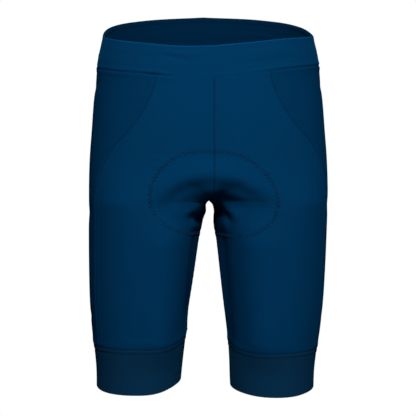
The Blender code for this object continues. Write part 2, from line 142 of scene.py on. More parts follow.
CROTCH_HEIGHT = -0.2080
CENTRE_BOTTOM = CROTCH_HEIGHT - 1e-5
BODY_SECTIONS = rows_of(
    BodySection,
    (0.06, 0.1468, 0.0985, 0.1, 2.15), (0.022, 0.1502, 0.1, 0.1015, 2.15),
    (-0.01, 0.157, 0.1018, 0.1045, 2.18), (-0.04, 0.1595, 0.1035, 0.1105, 2.22),
    (-0.068, 0.1628, 0.105, 0.1175, 2.28), (-0.11, 0.166, 0.1062, 0.1255, 2.4),
    (-0.152, 0.1691, 0.106, 0.1275, 2.45), (-0.181, 0.1701, 0.1045, 0.1235, 2.4),
    (-0.209, 0.1704, 0.1022, 0.1155, 2.3), (-0.238, 0.1702, 0.0995, 0.106, 2.2),
    (-0.266, 0.1699, 0.0968, 0.096, 2.15), (-0.312, 0.1689, 0.0918, 0.083, 2.12),
    (-0.358, 0.1669, 0.0865, 0.075, 2.1), (-0.404, 0.1624, 0.08, 0.069, 2.1),
    (-0.427, 0.1591, 0.0758, 0.0662, 2.1), (-0.45, 0.1568, 0.0722, 0.064, 2.1),
    (-0.49, 0.156, 0.068, 0.0615, 2.1),
)
LEG_GAP = rows_of(
    GapSection,
    (CROTCH_HEIGHT, 0.0), (-0.215, 0.005), (-0.222, 0.0065), (-0.232, 0.0081), (-0.249, 0.0103),
    (-0.266, 0.0126), (-0.312, 0.0182), (-0.358, 0.024), (-0.404, 0.0295), (-0.45, 0.0341),
    (-0.49, 0.037),
)
WAIST_EDGES = {
    Side.LEFT: rows_of(
        WaistEdge,
        (0.0, 0.0099, -0.0344), (0.1, 0.0134, -0.03), (0.25, 0.0193, -0.0221), (0.4, 0.0228, -0.0179),
        (0.5, 0.025, -0.0172), (0.55, 0.0305, -0.014), (0.6, 0.036, -0.009), (0.66, 0.0412, -0.002),
        (0.79, 0.0479, 0.0052), (1.0, 0.052, 0.009),
    ),
    Side.RIGHT: rows_of(
        WaistEdge,
        (0.0, 0.0099, -0.0344), (0.1, 0.0092, -0.0331), (0.25, 0.0137, -0.0277), (0.4, 0.0195, -0.0236),
        (0.5, 0.0245, -0.0205), (0.55, 0.0305, -0.0145), (0.6, 0.036, -0.009), (0.66, 0.0408, -0.0025),
        (0.79, 0.0472, 0.0047), (1.0, 0.052, 0.009),
    ),
}
SIDE_SEAMS = rows_of(
    SideSeam,
    (0.01, 0.133, 0.105), (-0.03, 0.131, 0.103), (-0.057, 0.127, 0.1), (-0.083, 0.117, 0.096),
    (-0.111, 0.097, 0.09), (-0.132, 0.0755, 0.085), (-0.152, 0.063, 0.078), (-0.175, 0.056, 0.071),
    (-0.206, 0.053, 0.064), (-0.26, 0.049, 0.056), (-0.34, 0.044, 0.048), (-0.44, 0.039, 0.043),
)
LEG_EDGES = {
    Side.LEFT: rows_of(
        LegEdge,
        (0.0, -0.414, -0.4772), (0.1, -0.4188, -0.4812), (0.2, -0.4212, -0.4854),
        (0.3, -0.4216, -0.4857), (0.4, -0.4213, -0.4813), (0.5, -0.4222, -0.4772),
        (0.75, -0.4195, -0.4752), (1.0, -0.414, -0.4772),
    ),
    Side.RIGHT: rows_of(
        LegEdge,
        (0.0, -0.4003, -0.464), (0.1, -0.4056, -0.47), (0.2, -0.4123, -0.4792), (0.3, -0.4143, -0.4804),
        (0.4, -0.4145, -0.479), (0.5, -0.4146, -0.4752), (0.75, -0.4068, -0.4668),
        (1.0, -0.4003, -0.464),
    ),
}
PAD_OUTLINE = rows_of(
    PadPlace,
    (0.0, 0.0, -0.1065, -0.1354), (9.0, 0.042, -0.1045, -0.1415), (18.0, 0.069, -0.102, -0.16),
    (27.0, 0.0835, -0.1018, -0.1805), (36.0, 0.0887, -0.1015, -0.202), (45.0, 0.084, -0.1, -0.224),
    (54.0, 0.064, -0.0925, -0.244), (63.0, 0.037, -0.075, -0.2535), (72.0, 0.018, -0.043, -0.2565),
    (81.0, 0.0118, -0.019, -0.2577), (90.0, 0.0108, 0.0, -0.2583), (99.0, 0.0115, 0.018, -0.2588),
    (108.0, 0.016, 0.038, -0.259), (117.0, 0.029, 0.067, -0.256), (126.0, 0.052, 0.094, -0.243),
    (135.0, 0.074, 0.111, -0.2235), (144.0, 0.0885, 0.116, -0.2005), (153.0, 0.0875, 0.121, -0.179),
    (162.0, 0.0735, 0.125, -0.159), (171.0, 0.043, 0.1278, -0.1415), (180.0, 0.0, 0.1299, -0.1338),
)


# ---------------------------------------------------------------- small helpers
def unit(vectors: Array) -> Array:
    """Give each vector of an array the length 1."""
    return vectors / np.maximum(np.linalg.norm(vectors, axis=-1, keepdims=True), LEAST)


def smooth_step(low: float, high: float, value: Array) -> Array:
    """Rise softly from 0 at low to 1 at high."""
    t = np.clip((value - low) / (high - low), 0.0, 1.0)
    return t * t * (3.0 - 2.0 * t)


def bell(distance: Array, width: float) -> Array:
    """Rise to 1 where a distance is 0, and fade over a width."""
    return np.exp(-((distance / width) ** 2))


def unevenness(run: Array, phase: float = 0.0) -> Array:
    """Vary slowly between about -1 and 1 along a run in metres, as hand-laid cloth does."""
    waves = ((0.061, 0.5, 1.3), (0.027, 0.3, 4.1), (0.0113, 0.2, 2.2))
    return sum(share * np.sin(2 * np.pi * run / wave + turn + phase) for wave, share, turn in waves)


def smooth_column(table: Sequence[NamedTuple], column: str, places: Array) -> Array:
    """Read a table's column on a smooth curve through its rows.

    Args:
        table: Rows whose first column is the place that they hold for.
        column: Name of the column to read.
        places: Where to read it.

    Returns:
        The column's values at the places.
    """
    rows = sorted(table)
    knots = np.array([row[0] for row in rows])
    values = np.array([getattr(row, column) for row in rows])
    slopes = np.gradient(values, knots)
    places = np.clip(places, knots[0], knots[-1])
    low = np.clip(np.searchsorted(knots, places) - 1, 0, len(knots) - 2)
    span = knots[low + 1] - knots[low]
    t = (places - knots[low]) / span
    rise = t * t * (3 - 2 * t)
    leave = span * slopes[low] * t * (1 - t) ** 2
    arrive = span * slopes[low + 1] * t * t * (t - 1)
    return values[low] * (1 - rise) + values[low + 1] * rise + leave + arrive


def runs(line: Array) -> Array:
    """Give how far along a polyline each of its points lies."""
    return np.concatenate([[0.0], np.cumsum(np.linalg.norm(np.diff(line, axis=0), axis=1))])


def resample_along(values: Array, line: Array, shares: Array) -> Array:
    """Read rows of values that belong to a polyline's points at shares of its length."""
    run = runs(line)
    return np.stack([np.interp(shares * run[-1], run, column) for column in values.T], axis=-1)


def resample(line: Array, shares: Array) -> Array:
    """Read a polyline at shares of its length."""
    return resample_along(line, line, shares)


def spline(points: Array, places: Array) -> Array:
    """Run a smooth curve through an array's rows.

    Args:
        points: Rows of points, evenly counted from 0.
        places: Places to read, counted in rows.

    Returns:
        A row of points for each place.
    """
    before = 2 * points[:1] - points[1:2]
    after = 2 * points[-1:] - points[-2:-1]
    padded = np.concatenate([before, points, after])
    row = np.clip(places.astype(int), 0, len(points) - 2)
    t = (places - row).reshape((-1,) + (1,) * (points.ndim - 1))
    a, b, c, d = (padded[row + step] for step in range(4))
    steep, bend, twist = c - a, 2 * a - 5 * b + 4 * c - d, 3 * b - a - 3 * c + d
    return 0.5 * (2 * b + steep * t + bend * t ** 2 + twist * t ** 3)


def around(grid: Array) -> tuple[Array, Array, Array, Array]:
    """Give the four corners of each cell of a grid."""
    return grid[:-1, :-1], grid[1:, :-1], grid[1:, 1:], grid[:-1, 1:]


# ---------------------------------------------------------------- the surface
@dataclass
class Form:
    """The filled-out surface of one side of the shorts, before the legs lean."""

    front_turn: float = 0.0700
    back_turn: float = 0.1150
    turn_fillet: float = 0.0240
    leg_lean: float = -0.0046
    close_span: float = 0.0300
    turn_rows: int = 72
    close_rows: int = 25
    level_rows: int = 60
    rays: int = 720
    half_shares: int = 100
    halvings: int = 30
    settle_steps: int = 4
    probe: float = 0.0002
    least_fillet: float = 1e-6
    ray_slack: float = 1e-7
    heights: Array = field(init=False)
    lattice: Array = field(init=False)
    girths: Array = field(init=False)

    def __post_init__(self) -> None:
        """Trace the lattice of sections."""
        top, bottom = BODY_SECTIONS[0].height, BODY_SECTIONS[-1].height
        close = CROTCH_HEIGHT - self.close_span
        rise = 1 - np.cos(np.linspace(0.0, np.pi / 2, self.turn_rows))
        self.heights = np.unique(np.concatenate([
            np.linspace(bottom, close, self.level_rows),
            np.linspace(close, CROTCH_HEIGHT, self.close_rows),
            CROTCH_HEIGHT + rise * self.front_turn,
            np.linspace(CROTCH_HEIGHT + self.front_turn, top, self.level_rows),
        ]))
        half = np.linspace(0.0, 1.0, self.half_shares + 1)
        sections = [self.trace(height) for height in self.heights]
        self.lattice = np.array([
            np.vstack([resample(front, half), resample(back, half)[1:]]) for front, back in sections
        ])
        self.girths = np.array([[runs(front)[-1], runs(back)[-1]] for front, back in sections])

    def shape(self, height: Array) -> tuple[Array, ...]:
        """Give a section's half width, reaches, squareness, inner edges and fillets at a height.

        Args:
            height: Heights of the sections.

        Returns:
            What outside takes as its shape.
        """
        width = smooth_column(BODY_SECTIONS, "half_width", height)
        depths = tuple(smooth_column(BODY_SECTIONS, column, height) for column in ("front", "back"))
        squareness = smooth_column(BODY_SECTIONS, "squareness", height)
        above = height > CROTCH_HEIGHT
        gap = smooth_column(LEG_GAP, "half_gap", height)
        inner, fillet = [], []
        for turn in (self.front_turn, self.back_turn):
            apart = (1 - np.clip((height - CROTCH_HEIGHT) / turn, 0.0, 1.0)) ** 2
            inner.append(np.where(above, -width * (1 - apart) / (1 + apart), gap))
            fillet.append(np.maximum(self.turn_fillet * 4 * apart * (1 - apart), self.least_fillet))
        return width, depths, squareness, inner, fillet

    def outside(self, x: Array, y: Array, shape: tuple[Array, ...]) -> Array:
        """Tell how far points lie outside both legs, which melt into each other above the crotch.

        Args:
            x: Where the points lie across.
            y: Where they lie from front to back.
            shape: Their sections, from shape.

        Returns:
            The distance at each point, below 0 inside.
        """
        width, depths, squareness, inners, fillets = shape
        depth, inner, fillet = (np.where(y < 0, *pair) for pair in (depths, inners, fillets))
        centre, half = (width + inner) / 2, (width - inner) / 2
        legs = []
        for across in (x - centre, x + centre):
            power = np.abs(across / half) ** squareness + np.abs(y / depth) ** squareness
            size = np.maximum(power, LEAST) ** (1 / squareness)
            legs.append(np.hypot(across, y) * (1 - 1 / size))
        overlap = np.maximum(fillet - np.abs(legs[0] - legs[1]), 0.0) / fillet
        return np.minimum(*legs) - overlap ** 2 * fillet / 4

    def reach(self, shape: tuple[Array, ...], start: tuple, direction: tuple, limit: Array) -> Array:
        """Find how far each ray runs inside a section before it leaves it.

        Args:
            shape: The section.
            start: Where the rays start.
            direction: Which way each ray goes.
            limit: The furthest that each may go.

        Returns:
            Each ray's length.
        """
        low, high = np.zeros_like(limit), limit.copy()
        for _ in range(self.halvings):
            middle = (low + high) / 2
            x, y = start[0] + direction[0] * middle, start[1] + direction[1] * middle
            inside = self.outside(x, y, shape) < 0
            low, high = np.where(inside, middle, low), np.where(inside, high, middle)
        return high

    def trace(self, height: float) -> tuple[Array, Array]:
        """Trace a section from the centre front or inseam to the hip line, and on to the back.

        Args:
            height: The section's height.

        Returns:
            The front half and the back half, as lines.
        """
        shape = self.shape(np.float64(height))
        width, inner = shape[0], shape[3]
        angle = np.linspace(0.0, 2 * np.pi, self.rays + 1)
        direction = (-np.cos(angle), -np.sin(angle))
        start = ((width + max(inner[0], 0.0)) / 2, 0.0)
        limit = np.full(angle.shape, 2 * width)
        inward = direction[0] < 0
        limit[inward] = np.minimum(limit[inward], -start[0] / direction[0][inward])
        length = self.reach(shape, start, direction, limit)
        points = np.stack([start[0] + direction[0] * length, direction[1] * length], axis=1)
        middle = self.rays // 2
        front, back = points[:middle + 1], points[middle:]
        if height <= CROTCH_HEIGHT:
            return front, back
        ends = self.reach(shape, (0.0, 0.0), (np.zeros(2), np.array([-1.0, 1.0])), np.full(2, 2 * width))
        cloth = length < limit - self.ray_slack
        front, back = front[cloth[:len(front)]], back[cloth[len(front) - 1:]]
        return np.vstack([[0.0, -ends[0]], front]), np.vstack([back, [0.0, ends[1]]])

    def points(self, share: Array, height: Array) -> Array:
        """Place points by their shares of the way round and their heights.

        Args:
            share: Shares of the way round one side, from the front to the back.
            height: Heights.

        Returns:
            The points, before the side leans.
        """
        share, height = np.broadcast_arrays(np.clip(share, 0.0, 1.0), height)
        row = np.clip(np.searchsorted(self.heights, height) - 1, 0, len(self.heights) - 2)
        along = share * 2 * self.half_shares
        column = np.clip(along.astype(int), 0, 2 * self.half_shares - 1)
        down = ((height - self.heights[row]) / (self.heights[row + 1] - self.heights[row]))[..., None]
        right = (along - column)[..., None]
        low = self.lattice[row, column] * (1 - right) + self.lattice[row, column + 1] * right
        high = self.lattice[row + 1, column] * (1 - right) + self.lattice[row + 1, column + 1] * right
        flat = low * (1 - down) + high * down
        return np.stack([flat[..., 0], flat[..., 1], height], axis=-1)

    def girth(self, height: Array, back: bool) -> Array:
        """Give the length of a section's front or back half at a height."""
        return np.interp(height, self.heights, self.girths[:, int(back)])

    def steepness(self, points: Array) -> tuple[Array, Array]:
        """Give how far points lie outside the surface, and which way is out.

        Args:
            points: Points near the surface.

        Returns:
            The distance and its slope at each point.
        """
        value = self.outside(points[..., 0], points[..., 1], self.shape(points[..., 2]))
        probes = []
        for axis in np.eye(3):
            moved = points + self.probe * axis
            probes.append(self.outside(moved[..., 0], moved[..., 1], self.shape(moved[..., 2])))
        return value, np.stack([(probe - value) / self.probe for probe in probes], axis=-1)

    def settle(self, points: Array) -> Array:
        """Move points straight onto the surface.

        Args:
            points: Points near the surface.

        Returns:
            The points on it.
        """
        for _ in range(self.settle_steps):
            value, slope = self.steepness(points)
            points = points - (value / np.sum(slope * slope, axis=-1))[..., None] * slope
        return points

    def normals(self, points: Array) -> Array:
        """Give the surface's outward directions at points on it."""
        return unit(self.steepness(points)[1])

    def lean(self, points: Array, side: Side) -> Array:
        """Stand one side's points up in the garment, on the left or mirrored on the right.

        Args:
            points: Points of the left side, standing straight.
            side: The side that they are for.

        Returns:
            The points in the garment.
        """
        x, y, z = np.moveaxis(points, -1, 0)
        drop = np.clip((CROTCH_HEIGHT - z) / (CROTCH_HEIGHT - BODY_SECTIONS[-1].height), 0.0, 1.0)
        return np.stack([side.value * x + self.leg_lean * drop, y, z], axis=-1)


@dataclass
class Patch:
    """A fine stretch of the surface: rows run down, columns run from the front to the back."""

    points: Array
    normals: Array

    def along_rows(self) -> Array:
        """Give each point's distance from its row's first point."""
        steps = np.linalg.norm(np.diff(self.points, axis=1), axis=2)
        return np.hstack([np.zeros((len(steps), 1)), np.cumsum(steps, axis=1)])

    def down_columns(self) -> Array:
        """Give each point's distance from its column's first point."""
        steps = np.linalg.norm(np.diff(self.points, axis=0), axis=2)
        return np.vstack([np.zeros((1, steps.shape[1])), np.cumsum(steps, axis=0)])

    def from_edges(self) -> dict[str, Array]:
        """Give each point's distance from each of the four edges.

        Returns:
            The distances, by the edge's name.
        """
        across, down = self.along_rows(), self.down_columns()
        return {
            "start": across,
            "end": across[:, -1:] - across,
            "top": down,
            "bottom": down[-1:] - down,
        }

    def flat(self) -> tuple[float, float]:
        """Give the widest row and the longest column, to the millimetre."""
        return round(float(self.along_rows()[:, -1].max()), 3), round(float(self.down_columns()[-1].max()), 3)

    def area(self) -> float:
        """Measure the cut.

        Returns:
            The area in square metres.
        """
        points = self.points
        cross = np.cross(points[1:, 1:] - points[:-1, :-1], points[1:, :-1] - points[:-1, 1:])
        return round(float(np.linalg.norm(cross, axis=2).sum() / 2), 5)

    def opened(self) -> "Patch":
        """Leave out the last column, which on a ring lies on the first."""
        return Patch(self.points[:, :-1], self.normals[:, :-1])

    def raised(self, height: Array) -> "Patch":
        """Lift the patch along its normals by a height for each point."""
        return Patch(self.points + self.normals * height[..., None], self.normals)


@dataclass
class Cutting:
    """Cuts one side of the surface into its pieces, on rows and columns set by the seams."""

    form: Form
    band_rows: int = 3
    rows_above: int = 16
    rows_below: int = 14
    cuff_rows: int = 4
    front_columns: int = 9
    side_columns: int = 10
    back_columns: int = 9
    crowding: float = 0.50
    relax_steps: int = 60
    run_steps: int = 400
    side_tilt: float = 0.0040
    fine_rows: int = 6
    fine_columns: int = 7
    edge_places: tuple[float, ...] = (0.0005, 0.0010, 0.0016, 0.0023, 0.0032, 0.0044)
    edge_room: float = 1.2
    panel_widths: tuple[float, float, float] = (0.110, 0.125, 0.115)

    @property
    def seam_row(self) -> int:
        """Row of the waist seam."""
        return self.band_rows

    @property
    def crotch_row(self) -> int:
        """Row that meets the crotch."""
        return self.seam_row + self.rows_above

    @property
    def cuff_row(self) -> int:
        """Row of the cuff seam."""
        return self.crotch_row + self.rows_below

    @property
    def columns(self) -> tuple[int, int, int, int]:
        """Columns of the centre front, both side seams and the centre back.

        Returns:
            Their numbers, from the front to the back.
        """
        side_start = self.front_columns
        side_end = side_start + self.side_columns
        return 0, side_start, side_end, side_end + self.back_columns

    def centre_heights(self, share: float, seam: float, cuff: float) -> Array:
        """Give the rows' heights down the centre front or back and the inseam, evenly along the cloth.

        Args:
            share: 0 for the centre front and 1 for the centre back.
            seam: The waist seam's height there.
            cuff: The cuff seam's height at the inseam.

        Returns:
            A height for each panel row.
        """
        heights = []
        run = np.linspace(0.0, 1.0, self.run_steps)
        for start, end, rows, above in ((seam, CROTCH_HEIGHT, self.rows_above, True),
                                        (CROTCH_HEIGHT, cuff, self.rows_below, False)):
            fine = start + (end - start) * (np.sin(np.pi / 2 * run) if above else run)
            x = np.linspace(0.0, 1.0, rows + 1)
            pull = self.crowding / np.pi * np.sin(np.pi * x)
            line = self.form.points(share, fine)
            heights.append(resample(line, x + pull if above else x - pull)[:, 2])
        return np.concatenate([heights[0], heights[1][1:]])

    def coarse(self, side: Side) -> Array:
        """Place the rows and columns of one side, from the waist's top edge to the hem.

        Args:
            side: The wearer's side to cut.

        Returns:
            Points by row and column, before the side leans or is mirrored.
        """
        waist, leg = WAIST_EDGES[side], LEG_EDGES[side]
        seam_ends = smooth_column(waist, "seam", np.array([0.0, 1.0]))
        cuff_end = leg[0].seam
        drops = []
        for end, share in zip(seam_ends, (0.0, 1.0)):
            heights = self.centre_heights(share, end, cuff_end)
            drops.append((end - heights) / (end - cuff_end))
        panel_rows = self.rows_above + self.rows_below
        hip_drop = np.linspace(0.0, 1.0, panel_rows + 1)

        def height_at(row: int, share: Array) -> Array:
            """Give the height of a panel row at a share.

            Args:
                row: The panel row.
                share: Shares of the way round.

            Returns:
                A height for each share.
            """
            centre = (np.clip(1 - 2 * share, 0, 1) ** 2, np.clip(2 * share - 1, 0, 1) ** 2)
            drop = hip_drop[row] + sum(w * (d[row] - hip_drop[row]) for w, d in zip(centre, drops))
            top = smooth_column(waist, "seam", share)
            return top + drop * (smooth_column(leg, "seam", share) - top)

        def columns(row: int) -> Array:
            """Share out a panel row's columns between the seams that it crosses.

            Args:
                row: The panel row.

            Returns:
                A share of the way round for each column.
            """
            seams = []
            for column, away in (("ahead", -0.5), ("behind", 0.5)):
                share = 0.5
                for _ in range(self.form.halvings):
                    height = height_at(row, share)
                    reach = smooth_column(SIDE_SEAMS, column, height - side.value * self.side_tilt)
                    share = float(0.5 + away * reach / self.form.girth(height, away > 0))
                seams.append(share)
            counts = (self.front_columns, self.side_columns, self.back_columns)
            bounds = [0.0, *seams, 1.0]
            parts = [np.linspace(a, b, n, endpoint=False) for a, b, n in zip(bounds, bounds[1:], counts)]
            return np.concatenate([*parts, [1.0]])

        shares, heights = [], []
        top, bottom = columns(0), columns(panel_rows)
        edge, seam = (smooth_column(waist, column, top) for column in ("top", "seam"))
        for row in range(self.band_rows):
            shares.append(top)
            heights.append(edge + (seam - edge) * row / self.band_rows)
        for row in range(panel_rows + 1):
            shares.append(columns(row))
            heights.append(height_at(row, shares[-1]))
        cuff, hem = (smooth_column(leg, column, bottom) for column in ("seam", "hem"))
        for row in range(1, self.cuff_rows + 1):
            shares.append(bottom)
            heights.append(cuff + (hem - cuff) * row / self.cuff_rows)
        grid = self.form.points(np.array(shares), np.array(heights))
        for first, last in zip(self.columns, self.columns[1:]):
            panel = grid[self.seam_row:self.cuff_row + 1, first:last + 1]
            for _ in range(self.relax_steps):
                middle = (panel[:-2, 1:-1] + panel[2:, 1:-1] + panel[1:-1, :-2] + panel[1:-1, 2:]) / 4
                panel[1:-1, 1:-1] = self.form.settle(middle)
        return grid

    def fine_places(self, cells: int, steps: int, length: float, start: bool, end: bool) -> Array:
        """Place fine rows or columns over coarse cells, crowded at the seams.

        Args:
            cells: Coarse cells to cross.
            steps: Fine steps to a coarse cell.
            length: The cells' length together, in metres.
            start: Whether a seam lies at the start.
            end: Whether a seam lies at the end.

        Returns:
            Places counted in coarse cells.
        """
        near = np.array(self.edge_places) * cells / length
        even = np.linspace(0.0, cells, cells * steps + 1)
        clear = near[-1] * self.edge_room
        keep = (even > (clear if start else 0)) & (even < (cells - clear if end else cells))
        first = near if start else near[:0]
        last = cells - near[::-1] if end else near[:0]
        return np.concatenate([[0.0], first, even[keep], last, [float(cells)]])

    def columns_across(self) -> list[Array]:
        """Place fine columns over a front, a side and a back panel, crowded at their seams.

        Returns:
            Each panel's fine places, counted in coarse cells.
        """
        return [
            self.fine_places(last - first, self.fine_columns, width, True, True)
            for first, last, width in zip(self.columns, self.columns[1:], self.panel_widths)
        ]

    def fine(self, coarse: Array, side: Side, rows: Sequence[Array], columns: Sequence[Array],
             first_row: int, first_column: int) -> Patch:
        """Refine a stretch of the coarse grid onto the surface.

        Args:
            coarse: One side's coarse grid.
            side: The side that it is cut for.
            rows: Fine row places of each group of coarse rows, one group below another.
            columns: Fine column places of each group of coarse columns.
            first_row: Coarse row where the stretch starts.
            first_column: Coarse column where it starts.

        Returns:
            The fine patch, standing in the garment.
        """
        down = []
        row = first_row
        for places in rows:
            cells = int(round(places[-1]))
            part = spline(coarse[row:row + cells + 1], places)
            down.append(part if not down else part[1:])
            row += cells
        tall = np.concatenate(down)
        wide = []
        column = first_column
        for places in columns:
            cells = int(round(places[-1]))
            part = spline(tall[:, column:column + cells + 1].swapaxes(0, 1), places)
            wide.append(part if not wide else part[1:])
            column += cells
        points = np.concatenate(wide).swapaxes(0, 1)
        points[..., 0] = np.maximum(points[..., 0], 0.0)
        points = self.form.settle(points)
        on_centre = np.zeros(points.shape[:2], bool)
        if first_column == 0:
            on_centre[:, 0] = points[:, 0, 2] > CENTRE_BOTTOM
        if column == self.columns[-1]:
            on_centre[:, -1] = points[:, -1, 2] > CENTRE_BOTTOM
        points[on_centre, 0] = 0.0
        normals = self.form.normals(points)
        normals[on_centre, 0] = 0.0
        normals = unit(normals) * np.array([side.value, 1.0, 1.0])
        return Patch(self.form.lean(points, side), normals)


# ---------------------------------------------------------------- pad places
@dataclass
class PadMap:
    """Rings of the seat pad on the cloth, from the crotch's point to the pad's sewn edge."""

    form: Form
    rings: int = 36
    turns: int = 160
    coarse_rings: int = 12
    coarse_turns: int = 40
    crowding: float = 1.3
    core_reach: float = 0.0500
    core_growth: float = 0.1000
    tilt: float = 0.0055
    ring_pull: float = 4.0
    relax_steps: int = 150
    run_steps: int = 400
    points: Array = field(init=False)
    normals: Array = field(init=False)
    centre: Array = field(init=False)
    tree: KDTree = field(init=False)

    def __post_init__(self) -> None:
        """Lay the rings out and index them."""
        coarse, self.centre = self.laid_out()
        looped = np.concatenate([coarse[:, -2:], coarse, coarse[:, :3]], axis=1)
        centre = np.broadcast_to(self.centre, looped[:1].shape)
        places = np.linspace(0.0, self.coarse_rings, self.rings + 1)[1:]
        tall = spline(np.concatenate([centre, looped]), places)
        turned = 2 + np.arange(self.turns) * self.coarse_turns / self.turns
        points = self.form.settle(spline(tall.swapaxes(0, 1), turned).swapaxes(0, 1))
        self.normals = self.form.normals(points)
        self.points = self.form.lean(points, Side.LEFT)
        self.tree = KDTree(self.points.size // 3)
        for index, point in enumerate(self.points.reshape(-1, 3)):
            self.tree.insert(point, index)
        self.tree.balance()

    def outline(self, turns: Array) -> Array:
        """Place the pad's sewn edge on the cloth at turns from straight ahead.

        Args:
            turns: Turns in radians, up to a whole one.

        Returns:
            A point of the edge for each turn.
        """
        folded = np.degrees(np.minimum(turns, 2 * np.pi - turns))
        columns = ("across", "behind", "height")
        places = np.stack([smooth_column(PAD_OUTLINE, column, folded) for column in columns], axis=-1)
        side = np.where(turns > np.pi, -1.0, 1.0)
        widest = max(row.across for row in PAD_OUTLINE)
        places[:, 2] -= self.tilt * side * places[:, 0] / widest
        places = self.form.settle(places)
        places[:, 0] *= side
        return places

    def laid_out(self) -> tuple[Array, Array]:
        """Place the coarse rings on the cloth, evened out between the crotch and the edge.

        Returns:
            The rings' points by ring and turn, and the point in their middle.
        """
        turns = np.arange(self.coarse_turns) * 2 * np.pi / self.coarse_turns
        folded = np.degrees(np.minimum(turns, 2 * np.pi - turns))
        rings = (np.arange(1, self.coarse_rings + 1) / self.coarse_rings) ** self.crowding
        front = np.broadcast_to(folded <= 90.0, (self.coarse_rings, self.coarse_turns))
        quarter = np.radians(np.where(folded <= 90.0, folded, 180.0 - folded))
        radius = rings[:, None] * (self.core_reach + self.core_growth * np.cos(quarter) ** 2)
        along, aside = radius * np.cos(2 * quarter), radius * np.sin(2 * quarter)
        longest = self.core_reach + self.core_growth
        rises = CROTCH_HEIGHT + longest * (1 - np.cos(np.linspace(0.0, np.pi / 2, self.run_steps)))
        height = CROTCH_HEIGHT + np.minimum(along, 0.0)
        for share, chosen in ((0.0, front), (1.0, ~front)):
            above = chosen & (along > 0)
            height[above] = np.interp(along[above], runs(self.form.points(share, rises)), rises)
        away = aside / 2 / np.where(front, self.form.girth(height, False), self.form.girth(height, True))
        grid = self.form.points(np.where(front, away, 1.0 - away), height)
        grid[..., 0] *= np.where(turns > np.pi, -1, 1)
        grid[-1] = self.outline(turns)
        centre = self.form.points(0.0, CROTCH_HEIGHT)
        for _ in range(self.relax_steps):
            looped = np.concatenate([grid[:, -1:], grid, grid[:, :1]], axis=1)
            inner = np.concatenate([np.broadcast_to(centre, grid[:1].shape), grid[:-2]])
            beside = looped[:-1, :-2] + looped[:-1, 2:]
            middle = (self.ring_pull * (inner + grid[1:]) + beside) / (2 * self.ring_pull + 2)
            grid[:-1] = self.form.settle(middle)
        return grid, centre

    def edge(self) -> Array:
        """Give the pad's sewn edge as a closed line."""
        return np.vstack([self.points[-1], self.points[-1, :1]])

    def places(self, points: Array, reach: float) -> tuple[Array, Array]:
        """Find where on the pad points of the cloth lie.

        Args:
            points: Points on the cloth.
            reach: How far from the pad's rings a point may lie to count.

        Returns:
            The share of the way from the crotch to the pad's edge, past 1 off the pad, and how far
            round the edge the nearest place is, in metres.
        """
        flat = points.reshape(-1, 3)
        share = np.full(len(flat), 2.0)
        round_edge = np.zeros(len(flat))
        run = runs(self.edge())
        low, high = self.points.min(axis=(0, 1)) - reach, self.points.max(axis=(0, 1)) + reach
        for index in np.flatnonzero(np.all((flat > low) & (flat < high), axis=1)):
            _, found, away = self.tree.find(flat[index])
            ring, turn = divmod(found, self.turns)
            if away < reach:
                share[index] = (ring + 1) / self.rings + (away / reach if ring == self.rings - 1 else 0.0)
                round_edge[index] = run[turn]
        return share.reshape(points.shape[:-1]), round_edge.reshape(points.shape[:-1])


# ---------------------------------------------------------------- creases
class Crease(NamedTuple):
    """One soft trough or ridge, laid as seen from one direction.

    It fades over its width, and where below is given, over that much under its line.
    """

    view: View
    path: Array
    lift: float
    width: float
    below: float = 0.0


ARCH = np.array((
    (-80, -207), (-70.3, -194.5), (-57.2, -184.5), (-43.5, -176.8), (-25.6, -170.7), (-5, -168.5),
    (15.8, -170.7), (33.9, -175.7), (50.7, -184.2), (68.2, -194.7), (78.5, -206.5),
))


def creases(view: View, rows: Sequence[tuple]) -> list[Crease]:
    """Lay out rows of a lift, a width, a path and maybe a width below, all in millimetres.

    Args:
        view: The direction that they are laid from.
        rows: A row for each crease.

    Returns:
        The creases.
    """
    return [
        Crease(view, np.array(path) / 1000, lift / 1000, width / 1000, *(part / 1000 for part in below))
        for lift, width, path, *below in rows
    ]


